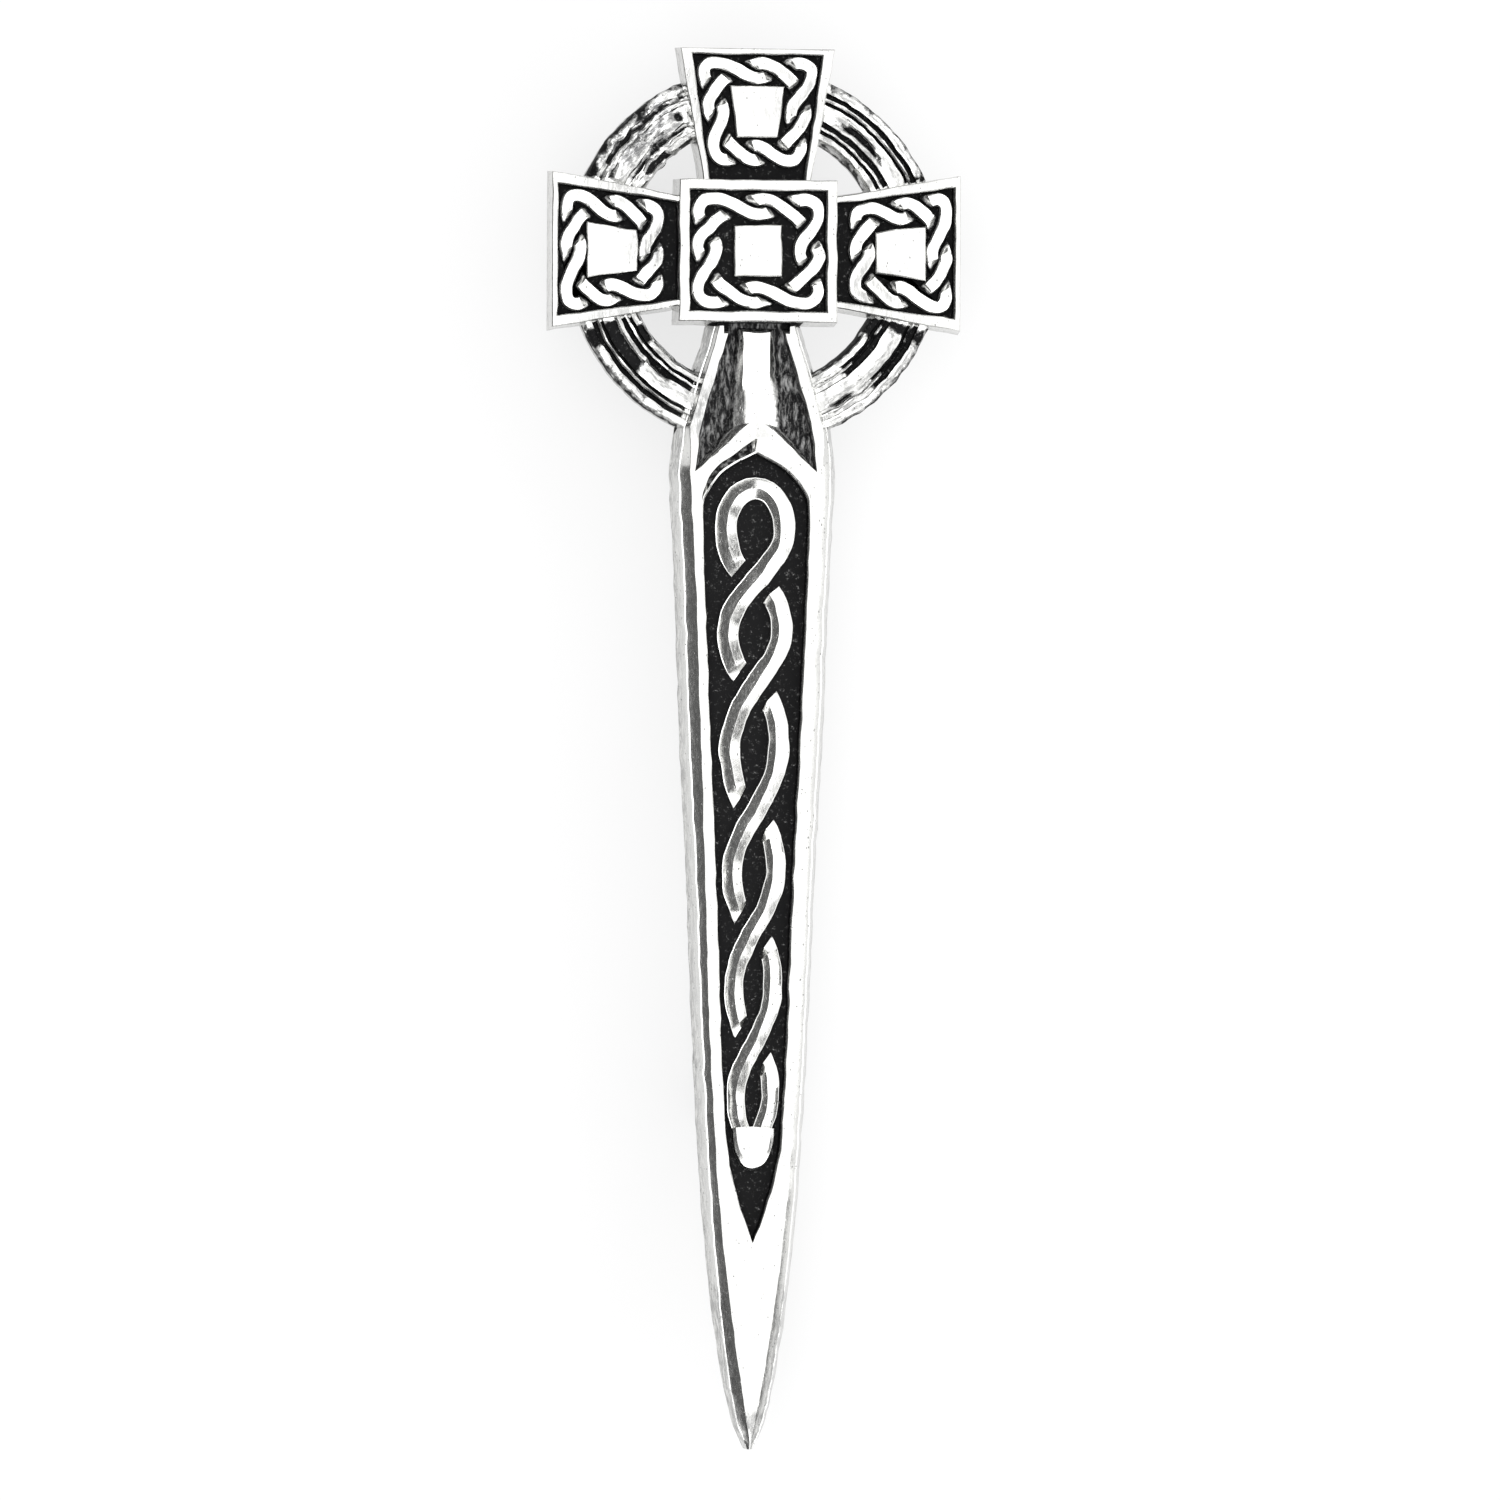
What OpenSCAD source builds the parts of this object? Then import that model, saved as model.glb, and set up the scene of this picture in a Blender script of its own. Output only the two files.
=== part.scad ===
// Kilt pin: a ring-headed cross on a long dagger blade, cast in one piece,
// with interlace raised in its sunk panels. It lies face up on the feet of
// its clasp. Lengths are millimetres. X is across the pin, +Y towards the
// top of the cross and +Z out of the face.

/* [Overall] */
// From the centre of the head to the top of the upper arm
top_reach = 14.6; // [14:0.1:17]
// From the centre of the head to the point of the blade
blade_reach = 85.4; // [75:0.5:100]
// From the centre of the head to the end of a side arm
side_reach = 14.8; // [14.2:0.1:17]

/* [Arms] */
// Width of an arm across its outer end
arm_end_w = 11.1; // [10:0.1:12.5]
// Width of an arm where it meets the centre block
arm_root_w = 7.6; // [7:0.1:9]
// Height of an arm's rim above the back of the casting
arm_h = 2.4; // [2.2:0.1:3]
// How much an arm's side leans in from back to face
arm_draft = 0.15; // [0.05:0.05:0.3]
// Width of the rim along an arm's side, at the outer end
arm_rim_end = 0.85; // [0.6:0.05:1.1]
// Width of the rim along an arm's side, at the inner end
arm_rim_root = 0.45; // [0.3:0.05:0.7]
// Width of the rim across an arm's outer end
end_rim = 0.4; // [0.3:0.05:0.8]

/* [Centre block] */
// Size of the centre block across the pin
block_w = 11.3; // [10:0.1:12]
// Size of the centre block along the pin
block_l = 10.1; // [9.4:0.1:11]
// Height of the centre block above the back of the casting
block_h = 3.2; // [2.9:0.1:4]
// Width of the rim round the centre block
block_rim = 0.72; // [0.5:0.02:1]

/* [Ring] */
// Outer radius of the ring
ring_r = 13.45; // [12.5:0.05:14]
// Width of the ring from its bore to its outside
ring_w = 4.2; // [3.4:0.1:4.8]
// Height of the ring's middle band above the back
ring_h = 2.1; // [1.6:0.1:2.3]
// Depth of the two grooves beside the middle band
groove_d = 0.6; // [0.3:0.05:0.9]

/* [Blade] */
// Width of the blade's shoulders at the top of their side walls
blade_w = 11; // [10:0.1:12]
// Width of the neck under the centre block
neck_w = 5.5; // [5:0.1:6.5]
// From the centre of the head to the shoulders
shoulder_drop = 15.9; // [15:0.1:18]
// Length of the slanted shoulders above that
shoulder_l = 3.4; // [2.4:0.1:4.4]
// Height of the blade's lands above the back
blade_h = 2.6; // [2.4:0.1:3.2]
// Height of the blade's side walls
wall_h = 1.85; // [1.6:0.05:2.1]
// How much the blade's side walls lean in from back to top
wall_draft = 0.5; // [0.2:0.05:0.6]
// Width of the bevel from a side wall up to the land
bevel_w = 0.77; // [0.5:0.01:0.9]
// Width of the sunk panel in the blade, at its widest
trough_w = 7.6; // [6.8:0.1:8.2]
// From the centre of the head to the top of the sunk panel
trough_top = 14.4; // [14:0.1:15.5]
// Length of the sunk panel, from its arched top to its point
trough_l = 56.2; // [48:0.5:64]

/* [Relief] */
// Depth of every sunk panel
sink = 0.9; // [0.7:0.05:1.1]
// How much a panel's inner walls lean
sink_draft = 0.1; // [0.05:0.05:0.2]
// Width of a strand in the square knots
knot_w = 1; // [0.7:0.05:1.05]
// Gap between a knot and the foot of its panel's walls
wall_gap = 0.04; // [0.03:0.01:0.15]
// Gap where one strand of a knot passes under another
under_gap = 0.15; // [0.1:0.01:0.25]
// Width of the raised pad in the middle of a knot
pad_w = 3.4; // [2.6:0.1:3.6]
// Length of that pad
pad_l = 3.6; // [2.8:0.1:3.8]
// Gap between an arm's knot and the centre block
knot_clear = 0.35; // [0.1:0.05:0.8]
// Width of a strand in the blade's braid
braid_w = 1.65; // [1.3:0.05:1.75]
// Gap where one strand of the braid passes under another
braid_gap = 0.7; // [0.3:0.05:0.9]
// How far the relief stays below the rims
relief_drop = 0.06; // [0.02:0.02:0.2]
// How far the braid swings to each side at its top
swing = 2.25; // [1.9:0.05:2.35]
// Width of the neck's keel along its crest
keel_w = 1.4; // [1:0.1:1.8]
// How far the bevel round the arch reaches up the neck
arch_bevel = 1.05; // [0.8:0.05:1.2]
// How deep that bevel falls beside the chevron
arch_drop = 0.6; // [0.3:0.05:0.7]
// Length of the groove that parts the keel from the centre block
keel_gap = 0.8; // [0.3:0.1:1.2]
// Width of the rounded foot that closes the braid
foot_w = 1.8; // [1.4:0.1:2]

/* [Clasp] */
// Length of the clasp's bar along the back
bar_l = 62; // [50:1:66]
// Width of the bar and of the clasp's feet
bar_w = 5; // [4:0.1:5.2]
// Thickness of the bar
bar_t = 0.8; // [0.6:0.1:1.2]
// From the centre of the head down to the middle of the hinge block
hinge_drop = 2.5; // [1:0.5:5]
// Length of the hinge block, and of the catch, along the pin
foot_l = 4; // [3:0.5:6]
// Diameter of the stem
stem_d = 1.2; // [1:0.1:1.6]
// Clear height between the stem and the bar, for the cloth
cloth_h = 4.4; // [4.3:0.1:6]
// Thickness of the foot under the stem
foot_t = 0.5; // [0.4:0.1:0.8]
// Running gap between the stem and the catch
stem_gap = 0.1; // [0.05:0.05:0.3]
// Length of the stem's sharpened end
point_l = 5; // [3:0.5:8]
// Diameter of the stem's blunted point
point_d = 0.3; // [0.2:0.05:0.5]
// Gap between the clasp's bar and the back of the casting
seat_gap = 0.04; // [0.02:0.01:0.1]

/* [Hidden] */
metal = "silver";
steel = "lightsteelblue";

// The origin is under the middle of the pin's length
head_y = (blade_reach - top_reach) / 2;
stem_z = foot_t + stem_gap + stem_d / 2;
bar_z = stem_z + stem_d / 2 + cloth_h;
back_z = bar_z + bar_t + seat_gap;
hinge_y = head_y - hinge_drop;
catch_y = hinge_y - bar_l + foot_l;

// Depths that one solid is sunk into the next, so that they join
bite = 0.3;
skin = 0.01;
relief_h = sink - relief_drop;

// Sections of the blade from the shoulders to the tip. The columns are the
// place along the blade, the half width at the top of the side wall, the
// bevel's width, the side wall's height and the land's height, each as a
// share of its own named size
BLADE = [
    [0.000, 1.000, 1.00, 1.00, 1.00],
    [0.130, 0.915, 1.00, 1.00, 1.00],
    [0.270, 0.850, 1.00, 1.00, 1.00],
    [0.385, 0.770, 0.80, 1.00, 1.00],
    [0.590, 0.660, 0.65, 1.00, 1.00],
    [0.710, 0.575, 0.70, 0.98, 1.00],
    [0.770, 0.520, 0.75, 0.95, 0.98],
    [0.830, 0.445, 0.85, 0.90, 0.95],
    [0.890, 0.355, 0.95, 0.80, 0.88],
    [0.940, 0.255, 0.95, 0.66, 0.78],
    [0.975, 0.160, 0.85, 0.50, 0.66],
    [1.000, 0.030, 0.15, 0.36, 0.42]
];
// How much narrower the blade is at the top of its slanted shoulders, and the
// share of its half width that always stays flat
shoulder_ease = 0.35;
least_flat = 0.04;

// Outline of the sunk panel in the blade: the place from its arched top to
// its point, and the half width, as shares of its length and half its width
TROUGH = [
    [0.000, 0.02],
    [0.008, 0.28],
    [0.022, 0.60],
    [0.044, 0.88],
    [0.066, 1.00],
    [0.300, 0.885],
    [0.560, 0.715],
    [0.810, 0.575],
    [0.890, 0.480],
    [0.925, 0.370],
    [0.965, 0.190],
    [1.000, 0.010]
];
// How many of those rows make the arch
ARCH_ROWS = 5;
// The thin rim between the arch and its bevel, how steeply the chevron falls
// to each side, and the least share of the bevel that is cut at its ends
arch_rim = 0.12;
chevron_slope = 0.68;
least_share = 0.02;

// The ring's section from its bore outwards. The columns are a share of the
// ring's width and a share of its height, and 1 in the last column adds the
// grooves' depth below that height
RING = [
    [0.00, 0.88, 0],
    [0.14, 0.90, 0],
    [0.20, 0.90, 1],
    [0.28, 0.92, 1],
    [0.32, 0.80, 0],
    [0.37, 0.92, 1],
    [0.44, 0.96, 0],
    [0.56, 1.00, 0],
    [0.69, 0.96, 0],
    [0.75, 0.92, 1],
    [0.79, 0.80, 0],
    [0.83, 0.90, 1],
    [0.86, 0.90, 0],
    [1.00, 0.86, 0]
];

// Courses of the two knotted strands over one side of a square panel, from
// left to right along its top, as shares of half the room in the panel. The
// corner strand bends round a corner outside the other and dips to the pad
// at the middle of a side. The middle strand does the opposite. A course's
// first and last points lie under the other strand, which cuts it short
CORNER_COURSE = [
    [-0.95, 0.50],
    [-1.00, 0.72],
    [-0.98, 0.87],
    [-0.88, 0.98],
    [-0.70, 1.00],
    [-0.52, 0.95],
    [-0.35, 0.86],
    [-0.19, 0.76],
    [-0.03, 0.70],
    [0.11, 0.71],
    [0.28, 0.78]
];
MIDDLE_COURSE = [
    [-0.25, 0.90],
    [0.02, 1.00],
    [0.18, 0.99],
    [0.32, 0.92],
    [0.43, 0.83],
    [0.55, 0.73],
    [0.66, 0.62],
    [0.75, 0.48]
];
// The rows between which each course lies over the other
CORNER_OVER = [5, 7];
MIDDLE_OVER = [3, 5];

// Sections of the strands: shares of half the width and of the height
ROUND_STRAND = [[-1, 0], [-0.86, 0.62], [-0.45, 1], [0.45, 1], [0.86, 0.62], [1, 0]];
RIDGED_STRAND = [[-1, 0], [-0.92, 0.5], [0, 1], [0.92, 0.5], [1, 0]];
// How far a strand's cut end leans back at its top, and how far that cut
// reaches past the part of the other strand that lies over it
end_lean = 0.12;
strip_past = 0.7;

// The braid's crossings, from the tip of its arch to the foot of its last
// eye, as shares of the sunk panel's length
CROSSINGS = [0.037, 0.161, 0.292, 0.457, 0.603, 0.751, 0.877];
last_crossing = CROSSINGS[len(CROSSINGS) - 1];
// How full a bulge is towards its hidden end and at the arch: 1 is a plain
// sine curve, and less is fuller
fullness = 0.5;
// The swing and the strand's width at the braid's foot, as shares of those
// at its top
foot_swing = 0.50;
foot_width = 0.70;
// How far the crest of a braided strand moves towards the middle of the
// blade, as a share of half its width, and the points along a bulge
crest_shift = 0.25;
steps = 7;
// The part of the last eye's sides before they meet at its foot
foot_turn = 0.70;
// Outline of the foot, as shares of half its width and of its width from
// where the braid's sides meet
FOOT = [
    [-1.48, 0.85],
    [-1.26, 0.33],
    [-1.04, -0.14],
    [-0.74, -0.58],
    [-0.30, -0.80],
    [0.00, -0.84],
    [0.30, -0.80],
    [0.74, -0.58],
    [1.04, -0.14],
    [1.26, 0.33],
    [1.48, 0.85],
    [0.00, 0.62]
];
foot_top = 0.74;

// Outlines of a hollow beside the keel, at the rims and at its floor. The
// columns are shares of half the blade's width and of the way from the
// centre block to the shoulders
HOLLOW_TOP = [[0.00, 0.00], [0.335, 0.00], [0.722, 0.66], [0.80, 0.985], [0.00, 0.66]];
HOLLOW_FLOOR = [[0.25, 0.00], [0.32, 0.00], [0.68, 0.65], [0.765, 0.95], [0.38, 0.70]];

ring_fn = 80;

function unit(v) = v / norm(v);
function mix(a, b, t) = a + (b - a) * t;
function reversed(points) = [for (i = [len(points) - 1:-1:0]) points[i]];

// A panel is [inner end, outer end, half width inside, half width outside]
// along +Y from the centre of the head
function on_panel(panel, uv) =
    let (t = (uv[1] + 1) / 2)
    [uv[0] * mix(panel[2], panel[3], t), mix(panel[0], panel[1], t)];
function panel_outline(panel, inset) = [
    [-panel[2] + inset, panel[0] + inset],
    [panel[2] - inset, panel[0] + inset],
    [panel[3] - inset, panel[1] - inset],
    [-panel[3] + inset, panel[1] - inset]
];
function quarter_turn(uv, n) = n == 0 ? uv : quarter_turn([uv[1], -uv[0]], n - 1);
// A panel less a margin on every side
function narrower(panel, margin) =
    let (slope = (panel[3] - panel[2]) / (panel[1] - panel[0]))
    [
        panel[0] + margin,
        panel[1] - margin,
        panel[2] + margin * (slope - 1),
        panel[3] - margin * (slope + 1)
    ];

// An arm's outline and the sunk panel in it, for an arm of a given reach
function arm_panel(reach) = [block_l / 2 - bite, reach, arm_root_w / 2, arm_end_w / 2];
function arm_sunk(reach) = [
    block_l / 2 - bite,
    reach - end_rim,
    arm_root_w / 2 - arm_rim_root,
    arm_end_w / 2 - arm_rim_end
];
// The part of the sunk panel that the knot fills, clear of the centre block
function arm_knot(reach, root) =
    let (all = arm_sunk(reach), near = root + knot_clear)
    [near, all[1], mix(all[2], all[3], (near - all[0]) / (all[1] - all[0])), all[3]];

// A block with straight sides that lean from one outline to another
module drafted(low, high, z_low, z_high) {
    hull() {
        translate([0, 0, z_low])
            linear_extrude(skin) polygon(low);
        translate([0, 0, z_high - skin])
            linear_extrude(skin) polygon(high);
    }
}

// A closed solid through rings of equal length, with flat ends
module skinned(rings) {
    m = len(rings[0]);
    n = len(rings);
    sides = [
        for (i = [0:n - 2], j = [0:m - 1], half = [0, 1])
            let (a = i * m + j, b = i * m + (j + 1) % m, c = a + m, d = b + m)
            half == 0 ? [a, b, c] : [b, d, c]
    ];
    start = [[for (j = [m - 1:-1:0]) j]];
    end = [[for (j = [0:m - 1]) (n - 1) * m + j]];
    polyhedron([for (ring = rings) each ring], concat(sides, start, end));
}

// Where the line through a and b meets the line through the two points over
function meeting(a, b, over) =
    let (u = b - a, v = over[1] - over[0])
    a + u * cross(over[0] - a, v) / cross(u, v);

// A course whose two ends lie just under the strands over them
function under_both(course, overs) =
    let (last = len(course) - 1)
    concat(
        [meeting(course[1], course[0], overs[0])],
        [for (i = [1:last - 1]) course[i]],
        [meeting(course[last - 1], course[last], overs[1])]
    );

// A raised strand along the given rows of a course of points, with square
// joints where it bends. Crest is how far its highest line moves aside at
// each point
module strand(course, rows, half_w, section, floor_z, crest) {
    last = len(course) - 1;
    skinned([
        for (i = [rows[0]:rows[1]])
            let (
                back = i > 0 ? course[i] - course[i - 1] : course[1] - course[0],
                on = i < last ? course[i + 1] - course[i] : back,
                both = unit(back) + unit(on),
                ahead = unit(both),
                side = [-ahead[1], ahead[0]],
                mitre = 2 / norm(both)
            )
            [for (p = section)
                let (
                    shift = p[1] == 1 ? crest[i] : [0, 0],
                    at = course[i] + side * p[0] * half_w[i] * mitre + shift
                )
                [at[0], at[1], floor_z + (p[1] == 0 ? -bite : p[1] * relief_h)]]
    ]);
}

// Outline of the strip that a strand passes over, with a little more length
function strip(over, reach) =
    let (ahead = unit(over[1] - over[0]), side = [-ahead[1], ahead[0]] * reach)
    [
        over[0] - ahead * strip_past - side,
        over[1] + ahead * strip_past - side,
        over[1] + ahead * strip_past + side,
        over[0] - ahead * strip_past + side
    ];

// The space that parts a strand from the ones that run over its ends
module clearing(overs, reach, floor_z) {
    for (over = overs)
        drafted(
            strip(over, reach),
            strip(over, reach + end_lean),
            floor_z - bite * 2,
            floor_z + sink
        );
}

function knot_course(room, course, turn) =
    [for (uv = course) on_panel(room, quarter_turn(uv, turn % 4))];
function part_over(course, rows) = [course[rows[0]], course[rows[1]]];

module knot_strand(course, overs, floor_z) {
    points = under_both(course, overs);
    difference() {
        strand(
            points,
            [0, len(points) - 1],
            [for (p = points) knot_w / 2],
            ROUND_STRAND,
            floor_z,
            [for (p = points) [0, 0]]
        );
        clearing(overs, knot_w / 2 + under_gap, floor_z);
    }
}

// The closed knot of two strands round a raised pad
module knot(panel, floor_z) {
    room = narrower(panel, knot_w / 2 + sink_draft + wall_gap);
    for (turn = [0:3]) {
        corner = knot_course(room, CORNER_COURSE, turn);
        middle = knot_course(room, MIDDLE_COURSE, turn);
        corner_on = knot_course(room, CORNER_COURSE, turn + 1);
        middle_back = knot_course(room, MIDDLE_COURSE, turn + 3);
        knot_strand(
            corner,
            [part_over(middle_back, MIDDLE_OVER), part_over(middle, MIDDLE_OVER)],
            floor_z
        );
        knot_strand(
            middle,
            [part_over(corner, CORNER_OVER), part_over(corner_on, CORNER_OVER)],
            floor_z
        );
    }
}

// The raised pad, narrower towards the inner end as its panel is
module pad(panel, floor_z) {
    mid = (panel[0] + panel[1]) / 2;
    lean = (panel[3] - panel[2]) / (panel[1] - panel[0]) * pad_l / 2;
    shape = [mid - pad_l / 2, mid + pad_l / 2, pad_w / 2 - lean, pad_w / 2 + lean];
    drafted(
        panel_outline(shape, -sink_draft / 2),
        panel_outline(shape, 0),
        floor_z - bite,
        floor_z + relief_h
    );
}

// The space of a sunk panel, a little past the face that it opens on
module sunk(low, high, floor_z, top_z) {
    drafted(low, high, floor_z, top_z + skin);
}

module arm_body(reach) {
    panel = arm_panel(reach);
    drafted(panel_outline(panel, -arm_draft), panel_outline(panel, 0), 0, arm_h);
}

module arm_sink(reach) {
    panel = arm_sunk(reach);
    open = [panel[0] - bite, panel[1], panel[2], panel[3]];
    sunk(panel_outline(open, sink_draft), panel_outline(open, 0), arm_h - sink, arm_h);
}

module arm_relief(reach, root) {
    panel = arm_knot(reach, root);
    knot(panel, arm_h - sink);
    pad(panel, arm_h - sink);
}

// Places a child on each arm: its reach, its turn and where it leaves the block
ARMS = [
    [top_reach - arm_draft, 0, block_l / 2],
    [side_reach - arm_draft, 90, block_w / 2],
    [side_reach - arm_draft, -90, block_w / 2]
];

function block_outline(inset) =
    panel_outline([-block_l / 2, block_l / 2, block_w / 2, block_w / 2], inset);

module block_body() {
    drafted(block_outline(-arm_draft), block_outline(0), 0, block_h);
}

module block_sink() {
    sunk(
        block_outline(block_rim + sink_draft),
        block_outline(block_rim),
        block_h - sink,
        block_h
    );
}

module block_relief() {
    panel = [
        -block_l / 2 + block_rim,
        block_l / 2 - block_rim,
        block_w / 2 - block_rim,
        block_w / 2 - block_rim
    ];
    knot(panel, block_h - sink);
    pad(panel, block_h - sink);
}

module head_ring() {
    inside = ring_r - ring_w;
    rotate_extrude($fn = ring_fn)
        polygon(concat(
            [[inside, 0]],
            [for (p = RING) [inside + p[0] * ring_w, p[1] * ring_h - p[2] * groove_d]],
            [[ring_r, 0]]
        ));
}

// One cross-section of the neck or blade at y
function blade_ring(y, half_w, bevel, wall, land) =
    let (flat = max(half_w - bevel, half_w * least_flat))
    [
        [-half_w - wall_draft * wall / wall_h, y, 0],
        [-half_w, y, wall],
        [-flat, y, land],
        [flat, y, land],
        [half_w, y, wall],
        [half_w + wall_draft * wall / wall_h, y, 0]
    ];

module blade_body() {
    neck_top = block_l / 2 - bite;
    blade_l = blade_reach - shoulder_drop;
    flare = shoulder_drop - shoulder_l;
    skinned(concat(
        [
            blade_ring(-neck_top, neck_w / 2, bevel_w / 3, wall_h, blade_h),
            blade_ring(-flare, blade_w / 2 - shoulder_ease, bevel_w / 2, wall_h, blade_h)
        ],
        [for (row = BLADE)
            blade_ring(
                -shoulder_drop - row[0] * blade_l,
                row[1] * blade_w / 2,
                row[2] * bevel_w,
                row[3] * wall_h,
                row[4] * blade_h
            )]
    ));
}

function trough_y(s) = -trough_top - s * trough_l;
// One side of the sunk panel's outline, from its arch to its point, a little
// inside the outline at the rims
function trough_side(inset, hand) = [
    for (i = [0:len(TROUGH) - 1])
        let (
            half_w = max(TROUGH[i][1] * trough_w / 2 - inset, skin),
            along = i < ARCH_ROWS ? -inset : inset
        )
        [hand * half_w, trough_y(TROUGH[i][0]) + along]
];
function trough_outline(inset) =
    concat(trough_side(inset, 1), reversed(trough_side(inset, -1)));

module trough() {
    sunk(trough_outline(sink_draft), trough_outline(0), blade_h - sink, blade_h);
}

// The bevel that falls from the arch's rim towards the chevron. It ends at a
// low step under the chevron, and fades out down the sides of the arch
function arch_cut(row, hand) =
    let (
        way = row[0] / TROUGH[ARCH_ROWS - 1][0],
        x = row[1] * trough_w / 2 + arch_rim * way,
        rim = trough_y(row[0]) + arch_rim,
        chevron = trough_y(0) + arch_bevel - chevron_slope * x,
        share = max(1 - pow(way, 2), least_share),
        step = rim + max(chevron - rim, arch_rim) * share
    )
    [
        [hand * x, rim, blade_h + skin],
        [hand * x, step, blade_h - arch_drop * share],
        [hand * x, step, blade_h + skin]
    ];

module arch_sink() {
    rows = [for (i = [0:ARCH_ROWS - 1]) TROUGH[i]];
    skinned(concat(
        [for (row = reversed(rows)) arch_cut(row, -1)],
        [for (row = rows) arch_cut(row, 1)]
    ));
}

// A hollow beside the keel, on the side given by hand
function hollow_outline(rows, hand) = [
    for (row = rows)
        [hand * max(row[0] * blade_w / 2, keel_w / 2),
            -mix(block_l / 2, shoulder_drop, row[1])]
];

module neck_hollows() {
    for (hand = [-1, 1])
        sunk(
            hollow_outline(HOLLOW_FLOOR, hand),
            hollow_outline(HOLLOW_TOP, hand),
            blade_h - sink,
            blade_h
        );
}

// The groove across the top of the neck, under the centre block
function groove_outline(reach, half_w) =
    panel_outline([-block_l / 2 - reach, 0, half_w, half_w], 0);

module neck_groove() {
    half_w = (neck_w - bevel_w) / 2;
    sunk(
        groove_outline(keel_gap / 2, half_w - sink_draft),
        groove_outline(keel_gap, half_w),
        blade_h - sink,
        blade_h
    );
}

// Middle line of the braid. Bulge n is its stretch between two crossings,
// on the side given by hand, and t runs down it from 0 to 1
function braid_point(n, t, hand) =
    let (
        s = mix(CROSSINGS[n], CROSSINGS[n + 1], t),
        full = n == 0 ? t < 0.5 || hand < 0 : hand * (t - 0.5) < 0,
        side = pow(abs(sin(180 * t)), full ? fullness : 1)
    )
    [hand * swing * mix(1, foot_swing, s) * side, trough_y(s)];
function bulge(n, from, to, hand) =
    [for (i = [0:steps]) braid_point(n, mix(from, to, i / steps), hand)];
// The pair of points between which a strand lies over crossing n
function braid_over(n) =
    [braid_point(n - 1, 1 - 1 / steps, 1), braid_point(n, 1 / steps, -1)];
function braid_half_w(p) = braid_w / 2 * mix(1, foot_width, (-trough_top - p[1]) / trough_l);

module braid_strand(points, rows, overs) {
    difference() {
        strand(
            points,
            rows,
            [for (p = points) braid_half_w(p)],
            RIDGED_STRAND,
            blade_h - sink,
            [for (p = points) [-crest_shift * braid_half_w(p) * p[0] / swing, 0]]
        );
        clearing(overs, braid_half_w(overs[0][0]) + braid_gap, blade_h - sink);
    }
}

function rest(points) = [for (i = [1:len(points) - 1]) points[i]];

// The foot is its left and right halves, so that its top can dip between
// the braid's sides
function foot_outline(share, hand) = [
    for (row = FOOT)
        if (row[0] * hand >= 0)
            [row[0] * share * foot_w / 2, trough_y(last_crossing) + row[1] * share * foot_w]
];
module foot() {
    for (hand = [-1, 1])
        drafted(
            foot_outline(1, hand),
            foot_outline(foot_top, hand),
            blade_h - sink - bite,
            blade_h - relief_drop
        );
}

module braid() {
    last = len(CROSSINGS) - 2;
    // The arch: its left leg, then its right one and on over the first crossing
    arch = concat(
        bulge(0, 1, 0, -1),
        rest(bulge(0, 0, 1, 1)),
        rest(bulge(1, 0, 1, -1))
    );
    braid_strand(arch, [0, steps], [braid_over(1)]);
    braid_strand(arch, [steps, len(arch) - 1], [braid_over(2)]);
    for (n = [2:last - 1])
        braid_strand(
            concat(bulge(n - 1, 0, 1, 1), rest(bulge(n, 0, 1, -1))),
            [0, steps * 2],
            [braid_over(n - 1), braid_over(n + 1)]
        );
    // The last eye: its left side to its foot, then its right side
    eye = concat(
        bulge(last - 1, 0, 1, 1),
        rest(bulge(last, 0, foot_turn, -1)),
        [braid_point(last, 1, 1)],
        bulge(last, foot_turn, 0, 1)
    );
    turn = steps * 2 + 1;
    braid_strand(eye, [0, turn], [braid_over(last - 1)]);
    braid_strand(eye, [turn, len(eye) - 1], [braid_over(last)]);
    foot();
}

module cross_casting() {
    color(metal)
    translate([0, head_y, back_z]) {
        difference() {
            union() {
                difference() {
                    union() {
                        head_ring();
                        blade_body();
                        for (arm = ARMS)
                            rotate([0, 0, arm[1]]) arm_body(arm[0]);
                    }
                    for (arm = ARMS)
                        rotate([0, 0, arm[1]]) arm_sink(arm[0]);
                    trough();
                    arch_sink();
                    neck_hollows();
                    neck_groove();
                }
                block_body();
            }
            block_sink();
        }
        block_relief();
        for (arm = ARMS)
            rotate([0, 0, arm[1]]) arm_relief(arm[0], arm[2]);
        braid();
    }
}

// The clasp's bar, hinge block, stem and catch, in one piece
module pin_clasp() {
    stem_l = hinge_y - catch_y + foot_l / 2;
    color(steel) {
        translate([-bar_w / 2, catch_y - foot_l / 2, bar_z])
            cube([bar_w, bar_l, bar_t]);
        translate([-bar_w / 2, hinge_y - foot_l / 2, 0])
            cube([bar_w, foot_l, bar_z]);
        translate([0, hinge_y, stem_z])
            rotate([90, 0, 0]) {
                cylinder(d = stem_d, h = stem_l - point_l);
                translate([0, 0, stem_l - point_l])
                    cylinder(d1 = stem_d, d2 = point_d, h = point_l);
            }
        translate([0, catch_y, 0])
            difference() {
                translate([-bar_w / 2, -foot_l / 2, 0])
                    cube([bar_w, foot_l, bar_z]);
                translate([-stem_d / 2 - stem_gap, -foot_l, foot_t])
                    cube([bar_w, foot_l * 2, stem_d + stem_gap * 2]);
            }
    }
}

cross_casting();
pin_clasp();
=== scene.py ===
"""Looks of the kilt pin: one antiqued white-metal casting over its plain steel clasp.

The casting is built here again from the construction's own sizes, with smooth strands,
eased edges and the unevenness of a hand-finished casting. It is worked out in millimetres
from the centre of the head and placed by the frame's box, and the clasp in the frame's
own millimetres.
"""
import math
from functools import partial

import bmesh
import bpy
import numpy as np
from mathutils import Matrix, Vector


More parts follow.
